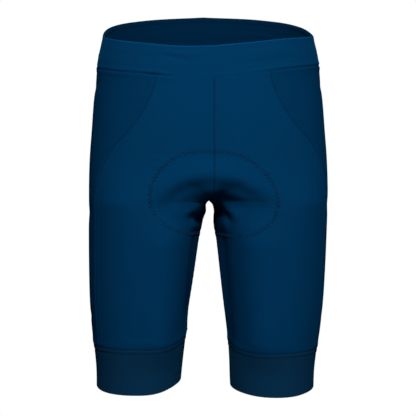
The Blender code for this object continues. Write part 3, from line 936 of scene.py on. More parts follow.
CREASES = (
    *creases(View.FRONT, (
        # the turn under the front of the seat pad
        (-4.6, 16, ARCH[:6] + (0, -26), 45),
        (-4.6, 18, ARCH[5:] + (0, -28.5), 48),
        (-2.8, 11, ARCH + (0, -14.5)),
        (1.6, 9, ARCH + (0, 2)),
        # the fronts of the thighs, fuller in the middle and rounded off towards the gap
        (7.8, 28, ((-64, -215), (-68, -300), (-72, -370), (-76, -455))),
        (7.8, 28, ((58, -215), (64, -300), (69, -370), (74, -460))),
        (-5.2, 24, ((-13, -215), (-22.5, -300), (-29, -360), (-37, -460))),
        (-4.6, 24, ((11, -215), (18, -300), (24, -360), (32, -468))),
        # small folds beside the crotch
        (2.6, 9.5, ((-64, -224), (-46, -219.5), (-27, -215), (-8, -212))),
        (-0.7, 5, ((-56.7, -225.7), (-42.4, -217.5), (-27.9, -212))),
        (-5, 7.4, ((-40, -229), (-23, -231), (-6, -235))),
        (2.2, 9.5, ((10.5, -204), (20.6, -214.1), (29.8, -223.4), (40, -234.2))),
        (0.6, 9.5, ((7, -198.5), (23, -201), (42, -205), (64, -210))),
        (-3.6, 9, ((7, -224), (19, -229), (30, -243))),
        # soft pulls towards the pad's stitching
        (0.6, 2.2, ((-96, -154.5), (-76.3, -156.1), (-64, -154.6))),
        (0.5, 2.2, ((-93, -144), (-80, -146.2), (-64, -147.8))),
        (0.4, 2.4, ((93, -162), (80, -164), (70, -168))),
        # creases of the waistband
        (-0.7, 3.4, ((-80, -3.6), (-62, -5.7), (-45.6, -9.1), (-26, -12.2))),
        (0.5, 3.6, ((-68, 1.5), (-42.9, -2.9), (-10, -2.2))),
        (-1.3, 2, ((-101, -29), (-83.8, -30.6), (-70, -31))),
        (0.5, 6, ((35, -4), (72, 1), (101, 6))),
        (-0.5, 5, ((48, -17.5), (85, -12), (120, -4))),
        # long soft waves down the front of the legs
        (1, 16, ((-112, -190), (-118, -260), (-115, -340))),
        (-1, 14, ((-64, -255), (-60, -310), (-66, -380))),
        (-0.9, 14, ((62, -265), (66, -325), (70, -390))),
        (0.9, 17, ((113, -205), (118, -270), (113, -350))),
        # above the left cuff and the right one
        (0.6, 5, ((48, -406), (85, -411), (120, -408))),
        (0.6, 5, ((-138, -399), (-105, -403), (-70, -402))),
    )),
    *creases(View.INNER_LEFT, (
        # the inner thighs beside the crotch
        (-3.4, 11, ((-55, -221.5), (-25, -222.5), (15, -223.5), (50, -223))),
    )),
    *creases(View.INNER_RIGHT, (
        (2.8, 8.5, ((-50, -224), (-20, -224.5), (20, -225), (50, -224.5))),
    )),
    *creases(View.BACK, (
        # under the seat and down the centre back
        (-2.2, 7.5, ((-22, -206), (-56, -212), (-98, -206), (-128, -193))),
        (-1.4, 6, ((-30, -224), (-64, -230), (-106, -222))),
        (1, 5, ((-24, -215), (-60, -221.5), (-102, -214.5))),
        (-2, 8, ((24, -207.5), (60, -215), (101, -209), (130, -195))),
        (-1.3, 5.5, ((28, -229), (66, -234), (96, -229))),
        (0.9, 5, ((26, -218.5), (62, -225), (98, -219.5))),
        (-0.9, 5, ((-16, -185), (-34, -172), (-45, -156))),
        (-1, 4.5, ((15, -188), (31, -176), (39, -162))),
        (-0.8, 5, ((-88, -8), (-56, 1), (-18, -2))),
        (-0.6, 4.5, ((35, 22), (75, 26), (108, 20))),
        (-0.9, 6, ((-70, -320), (-82, -342), (-115, -350))),
        (-0.8, 6, ((65, -333), (90, -346), (121, -341))),
    )),
    *creases(View.LEFT, (
        # on the hips and the outer thighs
        (-0.7, 6, ((-35, -42), (10, -53), (48, -47))),
        (-0.9, 10, ((-50, -205), (-5, -220), (42, -218))),
        (-0.7, 6, ((-25, -372), (8, -380), (35, -376))),
    )),
    *creases(View.RIGHT, (
        (-0.7, 6, ((-40, -38), (4, -50), (43, -46))),
        (-0.9, 10, ((-42, -212), (2, -227), (45, -220))),
        (-0.7, 6, ((-30, -364), (5, -374), (33, -368))),
    )),
)


@dataclass
class Relief:
    """The cloth's creases, the pad's shape under it and the dimples of the pad's stitching."""

    patches: Sequence[Patch]
    pad: PadMap
    pad_raise: float = 0.0010
    stitch_sink: float = 0.0004
    stitch_width: float = 0.0022
    dimple_depth: float = 0.0003
    dimple_pitch: float = 0.0075
    dimple_place: float = 0.0030
    dimple_width: float = 0.0040
    dimple_drift: float = 1.5
    pad_reach: float = 0.0120
    pad_span: float = 0.0480
    pad_shoulder: float = 0.82
    crease_steps: int = 48
    fade_share: float = 0.24
    ripple: float = 0.18
    slow_width: float = 0.0060
    depth_weight: float = 2.5
    margin_widths: float = 3.0
    phase_scale: float = 1000.0
    lines: list[tuple[Crease, Array]] = field(init=False)

    def __post_init__(self) -> None:
        """Lay every crease on the bare surface."""
        corners, faces, first = [], [], 0
        for patch in self.patches:
            rows, columns = patch.points.shape[:2]
            number = first + np.arange(rows * columns).reshape(rows, columns)
            faces.append(np.stack([corner.ravel() for corner in around(number)], axis=1))
            corners.append(patch.points.reshape(-1, 3))
            first += rows * columns
        tree = BVHTree.FromPolygons(np.vstack(corners).tolist(), np.vstack(faces).tolist())
        self.lines = []
        for crease in CREASES:
            shares = np.linspace(0.0, len(crease.path) - 1.0, self.crease_steps)
            way_across, way_out, stand_off = crease.view.value
            across, outward = np.array([*way_across, 0.0]), np.array([*way_out, 0.0])
            line = []
            for place, height in spline(crease.path, shares):
                start = Vector(across * place + outward * stand_off + np.array([0.0, 0.0, height]))
                hit = tree.ray_cast(start, Vector(-outward))[0]
                if hit is not None:
                    line.append(list(hit))
            self.lines.append((crease, np.array(line)))

    def creases(self, points: Array) -> Array:
        """Give the height of all the creases at points of the cloth.

        Args:
            points: Points of the bare surface.

        Returns:
            A height for each point.
        """
        flat = points.reshape(-1, 3)
        height = np.zeros(len(flat))
        for crease, line in self.lines:
            margin = self.margin_widths * max(crease.width, crease.below)
            near = np.all((flat > line.min(axis=0) - margin) & (flat < line.max(axis=0) + margin), axis=1)
            chosen = np.flatnonzero(near)
            if not len(chosen):
                continue
            nearest = np.argmin(np.linalg.norm(flat[chosen, None] - line[None], axis=2), axis=1)
            run, ahead = runs(line), unit(np.gradient(line, axis=0))[nearest]
            offset = flat[chosen] - line[nearest]
            furthest = run[-1] / self.crease_steps
            step = np.clip(np.sum(offset * ahead, axis=1), -furthest, furthest)
            away = np.linalg.norm(offset - step[:, None] * ahead, axis=1)
            width = crease.width
            if crease.below:
                width = np.where(offset[:, 2] < 0, crease.below, width)
                behind = -offset[:, :2] @ np.array(crease.view.value[1])
                away = np.hypot(away, self.depth_weight * np.maximum(behind, 0.0))
            place = np.clip(run[nearest] + step, 0.0, run[-1])
            end = self.fade_share * run[-1]
            fade = smooth_step(0.0, end, place) * smooth_step(0.0, end, run[-1] - place)
            slow = min(1.0, self.slow_width / crease.width)
            ripple = 1 + self.ripple * slow * unevenness(place * slow, crease.width * self.phase_scale)
            height[chosen] += crease.lift * bell(away, width) * fade * ripple
        return height.reshape(points.shape[:-1])

    def pad_form(self, points: Array) -> Array:
        """Give how far the pad and its stitching lift the cloth.

        Args:
            points: Points of the bare surface.

        Returns:
            A height for each point.
        """
        share, round_edge = self.pad.places(points, self.pad_reach)
        edge = np.abs(share - 1.0) * self.pad_span
        off_pad = share > 1.0
        edge[off_pad] = (share[off_pad] - 1.0) * self.pad_reach
        raised = self.pad_raise * (1 - smooth_step(self.pad_shoulder, 1.0, share))
        sunk = self.stitch_sink * bell(edge, self.stitch_width)
        turn = 2 * np.pi * round_edge / self.dimple_pitch + self.dimple_drift * unevenness(round_edge)
        near = bell(edge - self.dimple_place, self.dimple_width)
        dimples = self.dimple_depth * near * np.sin(turn) * off_pad
        return raised - sunk + dimples

    def __call__(self, points: Array) -> Array:
        """Give the cloth's whole relief at points of the bare surface."""
        return self.creases(points) + self.pad_form(points)


# ---------------------------------------------------------------- shader maths
class Value:
    """A shader socket that holds a number, whose arithmetic adds Math nodes."""

    def __init__(self, graph: "Graph", socket: bpy.types.NodeSocket) -> None:
        """Wrap a node's output."""
        self.graph = graph
        self.socket = socket

    def math(self, operation: str, *others: Any) -> "Value":
        """Add a Math node whose first input is this value.

        Args:
            operation: The node's operation.
            others: Its other inputs.

        Returns:
            The result.
        """
        inputs = {place + 1: other for place, other in enumerate(others)}
        node = self.graph.node("ShaderNodeMath", {"operation": operation}, {0: self, **inputs})
        return Value(self.graph, node.outputs[0])

    def reflected(self, operation: str, other: float) -> "Value":
        """Add a Math node whose second input is this value."""
        node = self.graph.node("ShaderNodeMath", {"operation": operation}, {0: other, 1: self})
        return Value(self.graph, node.outputs[0])

    def __add__(self, other: Any) -> "Value":
        """Add."""
        return self.math("ADD", other)

    __radd__ = __add__

    def __sub__(self, other: Any) -> "Value":
        """Subtract."""
        return self.math("SUBTRACT", other)

    def __rsub__(self, other: float) -> "Value":
        """Subtract from a number."""
        return self.reflected("SUBTRACT", other)

    def __mul__(self, other: Any) -> "Value":
        """Multiply."""
        return self.math("MULTIPLY", other)

    __rmul__ = __mul__

    def __truediv__(self, other: Any) -> "Value":
        """Divide."""
        return self.math("DIVIDE", other)

    def wave(self) -> "Value":
        """Give the sine of whole turns, from 0 to 1."""
        return (self * math.tau).math("SINE") * 0.5 + 0.5

    def zigzag(self) -> "Value":
        """Give 0 at each whole number and 1 half way between two."""
        return 1.0 - (self.math("FRACT") - 0.5).math("ABSOLUTE") * 2.0

    def step(self, low: float, high: float) -> "Value":
        """Rise softly from 0 at low to 1 at high.

        Args:
            low: Where the rise starts.
            high: Where it ends.

        Returns:
            The result.
        """
        node = self.graph.node("ShaderNodeMapRange", {"interpolation_type": "SMOOTHSTEP"},
                               {"Value": self, "From Min": low, "From Max": high})
        return Value(self.graph, node.outputs[0])


class Graph:
    """A material's nodes."""

    def __init__(self, name: str) -> None:
        """Start a material with nothing but its output.

        Args:
            name: The material's name.
        """
        self.material = bpy.data.materials.new(name)
        self.material.use_nodes = True
        self.tree = self.material.node_tree
        self.tree.nodes.clear()
        self.output = self.node("ShaderNodeOutputMaterial")

    def node(self, kind: str, settings: dict | None = None, inputs: dict | None = None) -> bpy.types.Node:
        """Add a node.

        Args:
            kind: The node's type.
            settings: Its own settings, set before its sockets.
            inputs: Values or links of its sockets, by name or number.

        Returns:
            The node.
        """
        node = self.tree.nodes.new(kind)
        for name, value in (settings or {}).items():
            setattr(node, name, value)
        for name, value in (inputs or {}).items():
            socket = node.inputs[name]
            if isinstance(value, Value):
                value = value.socket
            if isinstance(value, bpy.types.NodeSocket):
                self.tree.links.new(value, socket)
            else:
                socket.default_value = value
        return node

    def cloth_place(self) -> tuple[Value, Value]:
        """Give the place on the cloth: metres across its wales and metres down them.

        Returns:
            The two values.
        """
        place = self.node("ShaderNodeUVMap", {"uv_map": ClothMesh.UV_NAME})
        parts = self.node("ShaderNodeSeparateXYZ", None, {0: place.outputs[0]})
        return Value(self, parts.outputs[0]), Value(self, parts.outputs[1])

    def inside(self) -> Value:
        """Give 1 on the inner side of the cloth and 0 on its face."""
        found = self.node("ShaderNodeAttribute", {"attribute_name": ClothMesh.INSIDE_NAME})
        return Value(self, found.outputs["Fac"])

    def noise(self, across: Value, down: Value, detail: float = 2.0) -> Value:
        """Give smooth noise over two values, from 0 to 1.

        Args:
            across: The first value.
            down: The second value.
            detail: How fine the noise goes.

        Returns:
            The noise.
        """
        place = self.node("ShaderNodeCombineXYZ", None, {0: across, 1: down})
        found = self.node("ShaderNodeTexNoise", {"noise_dimensions": "2D"},
                          {"Vector": place.outputs[0], "Scale": 1.0, "Detail": detail})
        return Value(self, found.outputs[0])

    def mottle(self, across: Value, down: Value, layers: Layers) -> Value:
        """Add up noises, each given by its share and its counts a metre across and down."""
        parts = [self.noise(across * wide, down * tall) * share for share, wide, tall in layers]
        return sum(parts[1:], parts[0])

    def mixed(self, share: Value, low: Any, high: Any) -> bpy.types.NodeSocket:
        """Mix two colours by a share.

        Args:
            share: Share of the second colour.
            low: The first colour, or its socket.
            high: The second colour, or its socket.

        Returns:
            The mixed colour's socket.
        """
        parts = [(*part, 1.0) if isinstance(part, tuple) else part for part in (low, high)]
        node = self.tree.nodes.new("ShaderNodeMix")
        node.data_type = "RGBA"
        sockets = [socket for socket in node.inputs if socket.type == "RGBA"]
        self.tree.links.new(share.socket, node.inputs[0])
        for socket, part in zip(sockets, parts):
            if isinstance(part, tuple):
                socket.default_value = part
            else:
                self.tree.links.new(part, socket)
        return [socket for socket in node.outputs if socket.type == "RGBA"][0]

    def bump(self, height: Value, depth: float) -> bpy.types.NodeSocket:
        """Turn a height from 0 to 1 into a bump of a depth in metres."""
        node = self.node("ShaderNodeBump", None, {"Height": height, "Distance": depth, "Strength": 1.0})
        return node.outputs[0]

    def finish(self, inputs: dict) -> bpy.types.Material:
        """Close the material with a Principled shader.

        Args:
            inputs: The shader's inputs by name.

        Returns:
            The material.
        """
        shader = self.node("ShaderNodeBsdfPrincipled", None, inputs)
        self.tree.links.new(shader.outputs[0], self.output.inputs[0])
        return self.material


def shaded(colour: Colour, share: float) -> Colour:
    """Make a colour lighter or darker."""
    return tuple(part * share for part in colour)


@dataclass(frozen=True)
class KnitFinish:
    """A smooth stretch knit: fine upright wales, faint streaks along them and a soft sheen."""

    name: str
    colour: Colour
    roughness: float = 0.62
    roughness_swing: float = 0.12
    sheen: float = 0.04
    sheen_roughness: float = 0.50
    sheen_tint: Colour = (0.0, 0.36, 0.92)
    wale: float = 0.0011
    course: float = 0.0008
    relief: float = 0.00006
    wale_share: float = 0.55
    knit_share: float = 0.12
    streaks: float = 0.10
    streak_swing: float = 4.0
    layers: Layers = ((0.42, 260.0, 7.0), (0.28, 60.0, 3.0), (0.30, 14.0, 9.0))
    # a lighter line along the top edge: partly a painted highlight where the rounded edge meets the light
    # from above, partly a paler edge
    edge_highlight_and_tone: float = 0.0
    edge_highlight_and_tone_gain: float = 2.6
    edge_reach: tuple[float, float] = (0.0002, 0.0022)
    # how dark the inner side is: partly the duller reverse of the knit, partly painted shade inside the
    # garment
    inside_reverse_and_shade: float = 0.50

    def knit(self, across: Value, down: Value) -> Value:
        """Give the height of the loops, from 0 to 1.

        Args:
            across: Metres across the wales.
            down: Metres down them.

        Returns:
            The height.
        """
        wales = (across / self.wale).zigzag()
        loops = (down / self.course + wales * 0.5).wave()
        return wales * self.wale_share + loops * wales * (1 - self.wale_share)

    def material(self) -> bpy.types.Material:
        """Make the cloth's material.

        Returns:
            The material.
        """
        graph = Graph(self.name)
        across, down = graph.cloth_place()
        knit = self.knit(across, down)
        tone = graph.mottle(across, down, self.layers)
        share = (tone - 0.5) * (self.streaks * self.streak_swing) + (knit - 0.5) * self.knit_share + 0.5
        low, high = shaded(self.colour, 1 - self.streaks), shaded(self.colour, 1 + self.streaks)
        colour = graph.mixed(share, low, high)
        # the band's top edge is painted lighter: partly a painted highlight where its rounded edge meets the
        # light from above, partly a paler edge
        if self.edge_highlight_and_tone:
            edge = 1.0 - down.step(*self.edge_reach)
            colour = graph.mixed(edge * self.edge_highlight_and_tone, colour, shaded(self.colour, self.edge_highlight_and_tone_gain))
        # the inner side is darkened: partly the duller reverse of the knit, partly painted shade inside the
        # garment
        if self.inside_reverse_and_shade < 1.0:
            colour = graph.mixed(graph.inside(), colour, shaded(self.colour, self.inside_reverse_and_shade))
        return graph.finish({
            "Base Color": colour,
            "Roughness": self.roughness + (tone - 0.5) * self.roughness_swing,
            "Normal": graph.bump(knit, self.relief),
            "Specular IOR Level": 0.0,
            "Sheen Weight": self.sheen,
            "Sheen Roughness": self.sheen_roughness,
            "Sheen Tint": (*self.sheen_tint, 1.0),
        })


@dataclass(frozen=True)
class ElasticFinish(KnitFinish):
    """A ribbed elastic knit, with fine level ribs, alike on both sides."""

    roughness: float = 0.58
    roughness_swing: float = 0.14
    sheen_tint: Colour = (0.04, 0.44, 0.88)
    course: float = 0.0016
    relief: float = 0.00008
    wale_share: float = 0.4
    knit_share: float = 0.14
    streaks: float = 0.08
    layers: Layers = ((0.5, 45.0, 160.0), (0.5, 16.0, 12.0))
    inside_reverse_and_shade: float = 1.0

    def knit(self, across: Value, down: Value) -> Value:
        """Give the height of the ribs, from 0 to 1."""
        ribs, wales = (down / self.course).wave(), (across / self.wale).zigzag()
        return ribs * (1 - self.wale_share) + wales * self.wale_share


@dataclass(frozen=True)
class FleeceFinish:
    """The seat pad's brushed face."""

    name: str
    colour: Colour
    nap_count: float = 1500.0
    nap_detail: float = 3.0
    cloud_count: float = 70.0
    nap_share: float = 0.6
    shades: tuple[float, float] = (0.7, 1.35)
    roughness: float = 0.82
    roughness_swing: float = 0.12
    relief: float = 0.0002
    gloss: float = 0.10
    sheen: float = 0.25
    sheen_roughness: float = 0.6
    sheen_tint: Colour = (0.5, 0.6, 0.8)

    def material(self) -> bpy.types.Material:
        """Make the fleece's material.

        Returns:
            The material.
        """
        graph = Graph(self.name)
        across, down = graph.cloth_place()
        nap = graph.noise(across * self.nap_count, down * self.nap_count, self.nap_detail)
        cloud = graph.noise(across * self.cloud_count, down * self.cloud_count)
        share = nap * self.nap_share + cloud * (1 - self.nap_share)
        low, high = (shaded(self.colour, shade) for shade in self.shades)
        return graph.finish({
            "Base Color": graph.mixed(share, low, high),
            "Roughness": self.roughness + nap * self.roughness_swing,
            "Normal": graph.bump(nap, self.relief),
            "Specular IOR Level": self.gloss,
            "Sheen Weight": self.sheen,
            "Sheen Roughness": self.sheen_roughness,
            "Sheen Tint": (*self.sheen_tint, 1.0),
        })


@dataclass(frozen=True)
class ThreadFinish:
    """Sewing thread with a faint twist."""

    name: str
    colour: Colour
    twist: float = 0.0012
    shades: tuple[float, float] = (0.75, 1.2)
    roughness: float = 0.50
    roughness_swing: float = 0.12
    relief: float = 0.00008
    gloss: float = 0.10

    def material(self) -> bpy.types.Material:
        """Make the thread's material.

        Returns:
            The material.
        """
        graph = Graph(self.name)
        place = graph.node("ShaderNodeTexCoord")
        parts = graph.node("ShaderNodeSeparateXYZ", None, {0: place.outputs["Object"]})
        x, y, z = (Value(graph, output) for output in parts.outputs)
        strand = ((x + y + z) / self.twist).wave()
        low, high = (shaded(self.colour, shade) for shade in self.shades)
        return graph.finish({
            "Base Color": graph.mixed(strand, low, high),
            "Roughness": self.roughness + strand * self.roughness_swing,
            "Normal": graph.bump(strand, self.relief),
            "Specular IOR Level": self.gloss,
        })


# ---------------------------------------------------------------- meshes
class ClothMesh:
    """Closes a piece's outer and inner layer into one thin body with the cloth's own places."""

    UV_NAME = "cloth"
    INSIDE_NAME = "inside"
    SHARP = math.radians(50.0)

    def __init__(self, name: str, outer: Array, inner: Array, place: Array, ring: bool,
                 mirrored: bool) -> None:
        """Take the piece's layers.

        Args:
            name: The piece's name.
            outer: Points of the outer layer by row and column.
            inner: Points of the inner layer, as many.
            place: Place on the cloth of each point, with one more column on a ring.
            ring: Whether the last column joins the first.
            mirrored: Whether the piece is cut for the wearer's right side.
        """
        self.name = name
        self.outer = outer
        self.inner = inner
        self.place = place
        self.ring = ring
        self.mirrored = mirrored

    def faces(self) -> tuple[Array, Array]:
        """Give the corners of every face, and the place on the cloth of each corner.

        Returns:
            The corners by face, and each corner's place in the same order.
        """
        rows, columns = self.outer.shape[:2]
        number = np.arange(rows * columns).reshape(rows, columns)
        if self.ring:
            number = np.hstack([number, number[:, :1]])
        wide = number.shape[1]
        spot = np.arange(rows * wide).reshape(rows, wide)
        behind = rows * columns
        quads, spots = [], []

        def add(corners: Sequence[Array], places: Sequence[Array]) -> None:
            """Add quads, given by their corners in order."""
            quads.append(np.stack([np.ravel(corner) for corner in corners], axis=1))
            spots.append(np.stack([np.ravel(place) for place in places], axis=1))

        add(around(number), around(spot))
        add([corner + behind for corner in around(number)[::-1]], around(spot)[::-1])
        rims = [(number[0], spot[0]), (number[-1][::-1], spot[-1][::-1])]
        if not self.ring:
            rims += [(number[::-1, 0], spot[::-1, 0]), (number[:, -1], spot[:, -1])]
        for line, places in rims:
            add((line[:-1], line[1:], line[1:] + behind, line[:-1] + behind),
                (places[:-1], places[1:], places[1:], places[:-1]))
        corners, places = np.vstack(quads), np.vstack(spots)
        if self.mirrored:
            corners, places = corners[:, ::-1], places[:, ::-1]
        return corners, self.place.reshape(-1, 2)[places.ravel()]

    def build(self) -> bpy.types.Object:
        """Make the piece's object.

        Returns:
            The object, with its places and the mark of its inner side.
        """
        corners, places = self.faces()
        points = np.vstack([self.outer.reshape(-1, 3), self.inner.reshape(-1, 3)])
        made = mesh_object(self.name, points, corners.tolist(), places, self.SHARP)
        inside = np.zeros(len(points), np.float32)
        inside[self.outer.size // 3:] = 1.0
        layer = made.data.attributes.new(self.INSIDE_NAME, "FLOAT", "POINT")
        layer.data.foreach_set("value", inside)
        return made


def mesh_object(name: str, points: Array, faces: Sequence[Sequence[int]], places: Array | None = None,
                sharp: float | None = None) -> bpy.types.Object:
    """Make a smooth-shaded mesh object.

    Args:
        name: The object's name.
        points: Its points.
        faces: Corners of each face.
        places: Place on the cloth of each face's corner, where it has one.
        sharp: Angle past which an edge stays sharp, where one does.

    Returns:
        The object, linked to the scene.
    """
    mesh = bpy.data.meshes.new(name)
    mesh.from_pydata(points.tolist(), [], faces)
    if places is not None:
        layer = mesh.uv_layers.new(name=ClothMesh.UV_NAME)
        layer.data.foreach_set("uv", places.astype(np.float32).ravel())
    mesh.shade_smooth()
    if sharp is not None:
        mesh.set_sharp_from_angle(angle=sharp)
    made = bpy.data.objects.new(name, mesh)
    bpy.context.scene.collection.objects.link(made)
    return made


def dress(piece: bpy.types.Object, material: bpy.types.Material) -> None:
    """Give a piece its material and let it ride on the garment.

    Args:
        piece: The piece.
        material: Its material.
    """
    piece.data.materials.clear()
    piece.data.materials.append(material)
    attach(piece, BODY)
    LOG.info("%s: %d faces", piece.name, len(piece.data.polygons))


LIP_ROWS = 3
LIP_ROOM = 1e-4
LIP_LAST_SHARE = 0.9


def lipped(patch: Patch, thickness: float, at_top: bool) -> tuple[Array, Array, Array]:
    """Round a free edge of a wall from its outer layer to its inner one.

    Args:
        patch: The wall's outer layer.
        thickness: The wall's thickness.
        at_top: Whether the free edge is the first row, or the last.

    Returns:
        The outer and the inner layer with the rounded rows added, and which of the patch's rows are kept.
    """
    order = slice(None) if at_top else slice(None, None, -1)
    points, normals = patch.points[order], patch.normals[order]
    radius = thickness / 2
    past = unit(points[0] - points[1])
    past = unit(past - np.sum(past * normals[0], axis=1, keepdims=True) * normals[0])
    start = points[0] - past * radius
    keep = np.sum((points - start) * past, axis=2).mean(axis=1) < -LIP_ROOM
    outer, inner = points[keep], points[keep] - thickness * normals[keep]
    centre = start - normals[0] * radius
    angles = np.linspace(0.0, np.pi / 2, LIP_ROWS + 1)
    angles[-1] *= LIP_LAST_SHARE
    for angle in angles:
        out = centre + radius * (math.cos(angle) * normals[0] + math.sin(angle) * past)
        back = centre + radius * (-math.cos(angle) * normals[0] + math.sin(angle) * past)
        outer, inner = np.concatenate([out[None], outer]), np.concatenate([back[None], inner])
    return outer[order], inner[order], keep[order]


# ---------------------------------------------------------------- pieces of cloth
@dataclass
class Seams:
    """How the cloth lies along its seams."""

    sink: float = 0.0008
    sink_width: float = 0.0011
    puff: float = 0.0007
    puff_place: float = 0.0042
    puff_width: float = 0.0026
    pucker: float = 0.00014
    pucker_pitch: float = 0.0090
    belly_depth: float = 0.2
    left_hip: tuple[float, float] = (0.055, 0.100)
    right_hip: tuple[float, float] = (0.045, 0.075)

    def height(self, away: Array, run: Array) -> Array:
        """Give the cloth's height at a distance from a seam and a run along it.

        Args:
            away: Distances from the seam.
            run: Distances along it.

        Returns:
            A height for each point.
        """
        puckers = self.pucker * np.sin(2 * np.pi * run / self.pucker_pitch + 2 * unevenness(run))
        soft = bell(away - self.puff_place, self.puff_width)
        return (self.puff + puckers) * soft - self.sink * bell(away, self.sink_width)

    def waist_depth(self, points: Array) -> Array:
        """Give how deep the waist seam lies in places: faint over the belly, deeper at the hips.

        Args:
            points: Points near the waist seam.

        Returns:
            The share of the full depth at each point.
        """
        left = smooth_step(*self.left_hip, points[..., 0])
        right = smooth_step(*self.right_hip, -points[..., 0])
        return self.belly_depth + (1 - self.belly_depth) * np.maximum(left, right)


@dataclass
class LegPanels:
    """The front, side and back panels of one side."""

    side: Side
    cutting: Cutting
    coarse: Array
    seams: Seams
    thickness: float = 0.0018
    length: float = 0.400
    cuff_depth: float = 0.15
    cuff_lip: float = 0.0007
    cuff_lip_place: float = 0.004
    cuff_lip_width: float = 0.0060
    patches: dict[str, Patch] = field(init=False)

    NAMES = ("front", "side", "back")

    def __post_init__(self) -> None:
        """Lay the panels out on the bare surface."""
        cut = self.cutting
        share_above = cut.rows_above / (cut.rows_above + cut.rows_below)
        rows = (
            cut.fine_places(cut.rows_above, cut.fine_rows, self.length * share_above, True, False),
            cut.fine_places(cut.rows_below, cut.fine_rows, self.length * (1 - share_above), False, True),
        )
        self.patches = {
            name: cut.fine(self.coarse, self.side, rows, (columns,), cut.seam_row, first)
            for name, columns, first in zip(self.NAMES, cut.columns_across(), cut.columns)
        }

    def build(self, relief: Relief) -> list[bpy.types.Object]:
        """Make the three panels with their creases and seams.

        Args:
            relief: The cloth's relief.

        Returns:
            The panels, in the order of their names.
        """
        made = []
        for name, patch in self.patches.items():
            edges = patch.from_edges()
            away = np.minimum.reduce(list(edges.values()))
            upright = np.minimum(edges["start"], edges["end"]) < np.minimum(edges["top"], edges["bottom"])
            run = np.where(upright, edges["top"], edges["start"])
            seamed = self.seams.height(away, run)
            seamed *= np.where(edges["top"] <= away, self.seams.waist_depth(patch.points), 1.0)
            seamed *= np.where(edges["bottom"] <= away, self.cuff_depth, 1.0)
            height = relief(patch.points) + seamed
            height += self.cuff_lip * bell(edges["bottom"] - self.cuff_lip_place, self.cuff_lip_width)
            laid = patch.raised(height)
            across = edges["start"] - (edges["start"] + edges["end"]) / 2
            place = np.stack([across, edges["top"]], axis=-1)
            inner = laid.points - self.thickness * laid.normals
            mirrored = self.side is Side.RIGHT
            title = f"{name}_panel_{self.side.word}"
            piece = ClothMesh(title, laid.points, inner, place, False, mirrored).build()
            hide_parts(f"{name}_{self.side.word}")
            made.append(piece)
        return made


@dataclass
class Cuff:
    """One leg gripper, with the doubled ridge of its seam at the top and a rounded hem."""

    side: Side
    cutting: Cutting
    coarse: Array
    thickness: float = 0.0020
    height: float = 0.062
    ridge_place: float = 0.0036
    ridge_width: float = 0.0026
    ridge_lift: float = 0.0005
    groove_place: float = 0.0072
    groove_width: float = 0.0021
    groove_sink: float = 0.0004
    seam_sink: float = 0.0002
    seam_width: float = 0.0009
    waver: float = 0.15
    groove_fade: tuple[float, float, float, float] = (0.55, 0.45, 0.25, 0.8)
    ridge_rows: tuple[float, ...] = (
        0.0, 0.0005, 0.0011, 0.0018, 0.0027, 0.0036, 0.0045, 0.0053, 0.0060, 0.0066, 0.0072, 0.0078, 0.0084,
        0.0092,
    )
    row_room: float = 1.1
    lip_places: tuple[float, float] = (0.0004, 0.0016)
    fine_rows: int = 11
    patch: Patch = field(init=False)

    def __post_init__(self) -> None:
        """Lay the cuff out on the bare surface."""
        cut = self.cutting
        step = self.height / cut.cuff_rows
        ridge = np.array(self.ridge_rows) / step
        even = np.linspace(0.0, cut.cuff_rows, cut.cuff_rows * self.fine_rows + 1)
        rows = (np.concatenate([ridge, even[even > ridge[-1] * self.row_room]]),)
        self.patch = cut.fine(self.coarse, self.side, rows, cut.columns_across(), cut.cuff_row, 0)

    def build(self, relief: Relief) -> bpy.types.Object:
        """Make the cuff.

        Args:
            relief: The cloth's relief.

        Returns:
            The cuff.
        """
        bare = self.patch.opened()
        down, run = bare.down_columns(), bare.along_rows()
        height = relief(bare.points)
        ridge = self.ridge_lift * bell(down - self.ridge_place, self.ridge_width)
        height += ridge * (1 + self.waver * unevenness(run))
        base, swing, slow, phase = self.groove_fade
        fade = base + swing * unevenness(run * slow, phase)
        height -= self.groove_sink * bell(down - self.groove_place, self.groove_width) * fade
        height -= self.seam_sink * bell(down, self.seam_width)
        outer, inner, keep = lipped(bare.raised(height), self.thickness, at_top=False)
        across = self.patch.along_rows()
        kept = self.patch.down_columns()[keep]
        extra = len(outer) - len(kept)
        down = np.vstack([kept, kept[-1:] + np.linspace(*self.lip_places, extra)[:, None]])
        across = np.vstack([across[keep], np.repeat(across[-1:], extra, axis=0)])
        place = np.stack([across, down], axis=-1)
        mirrored = self.side is Side.RIGHT
        piece = ClothMesh(f"leg_cuff_{self.side.word}", outer, inner, place, True, mirrored).build()
        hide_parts(f"cuff_{self.side.word}")
        return piece


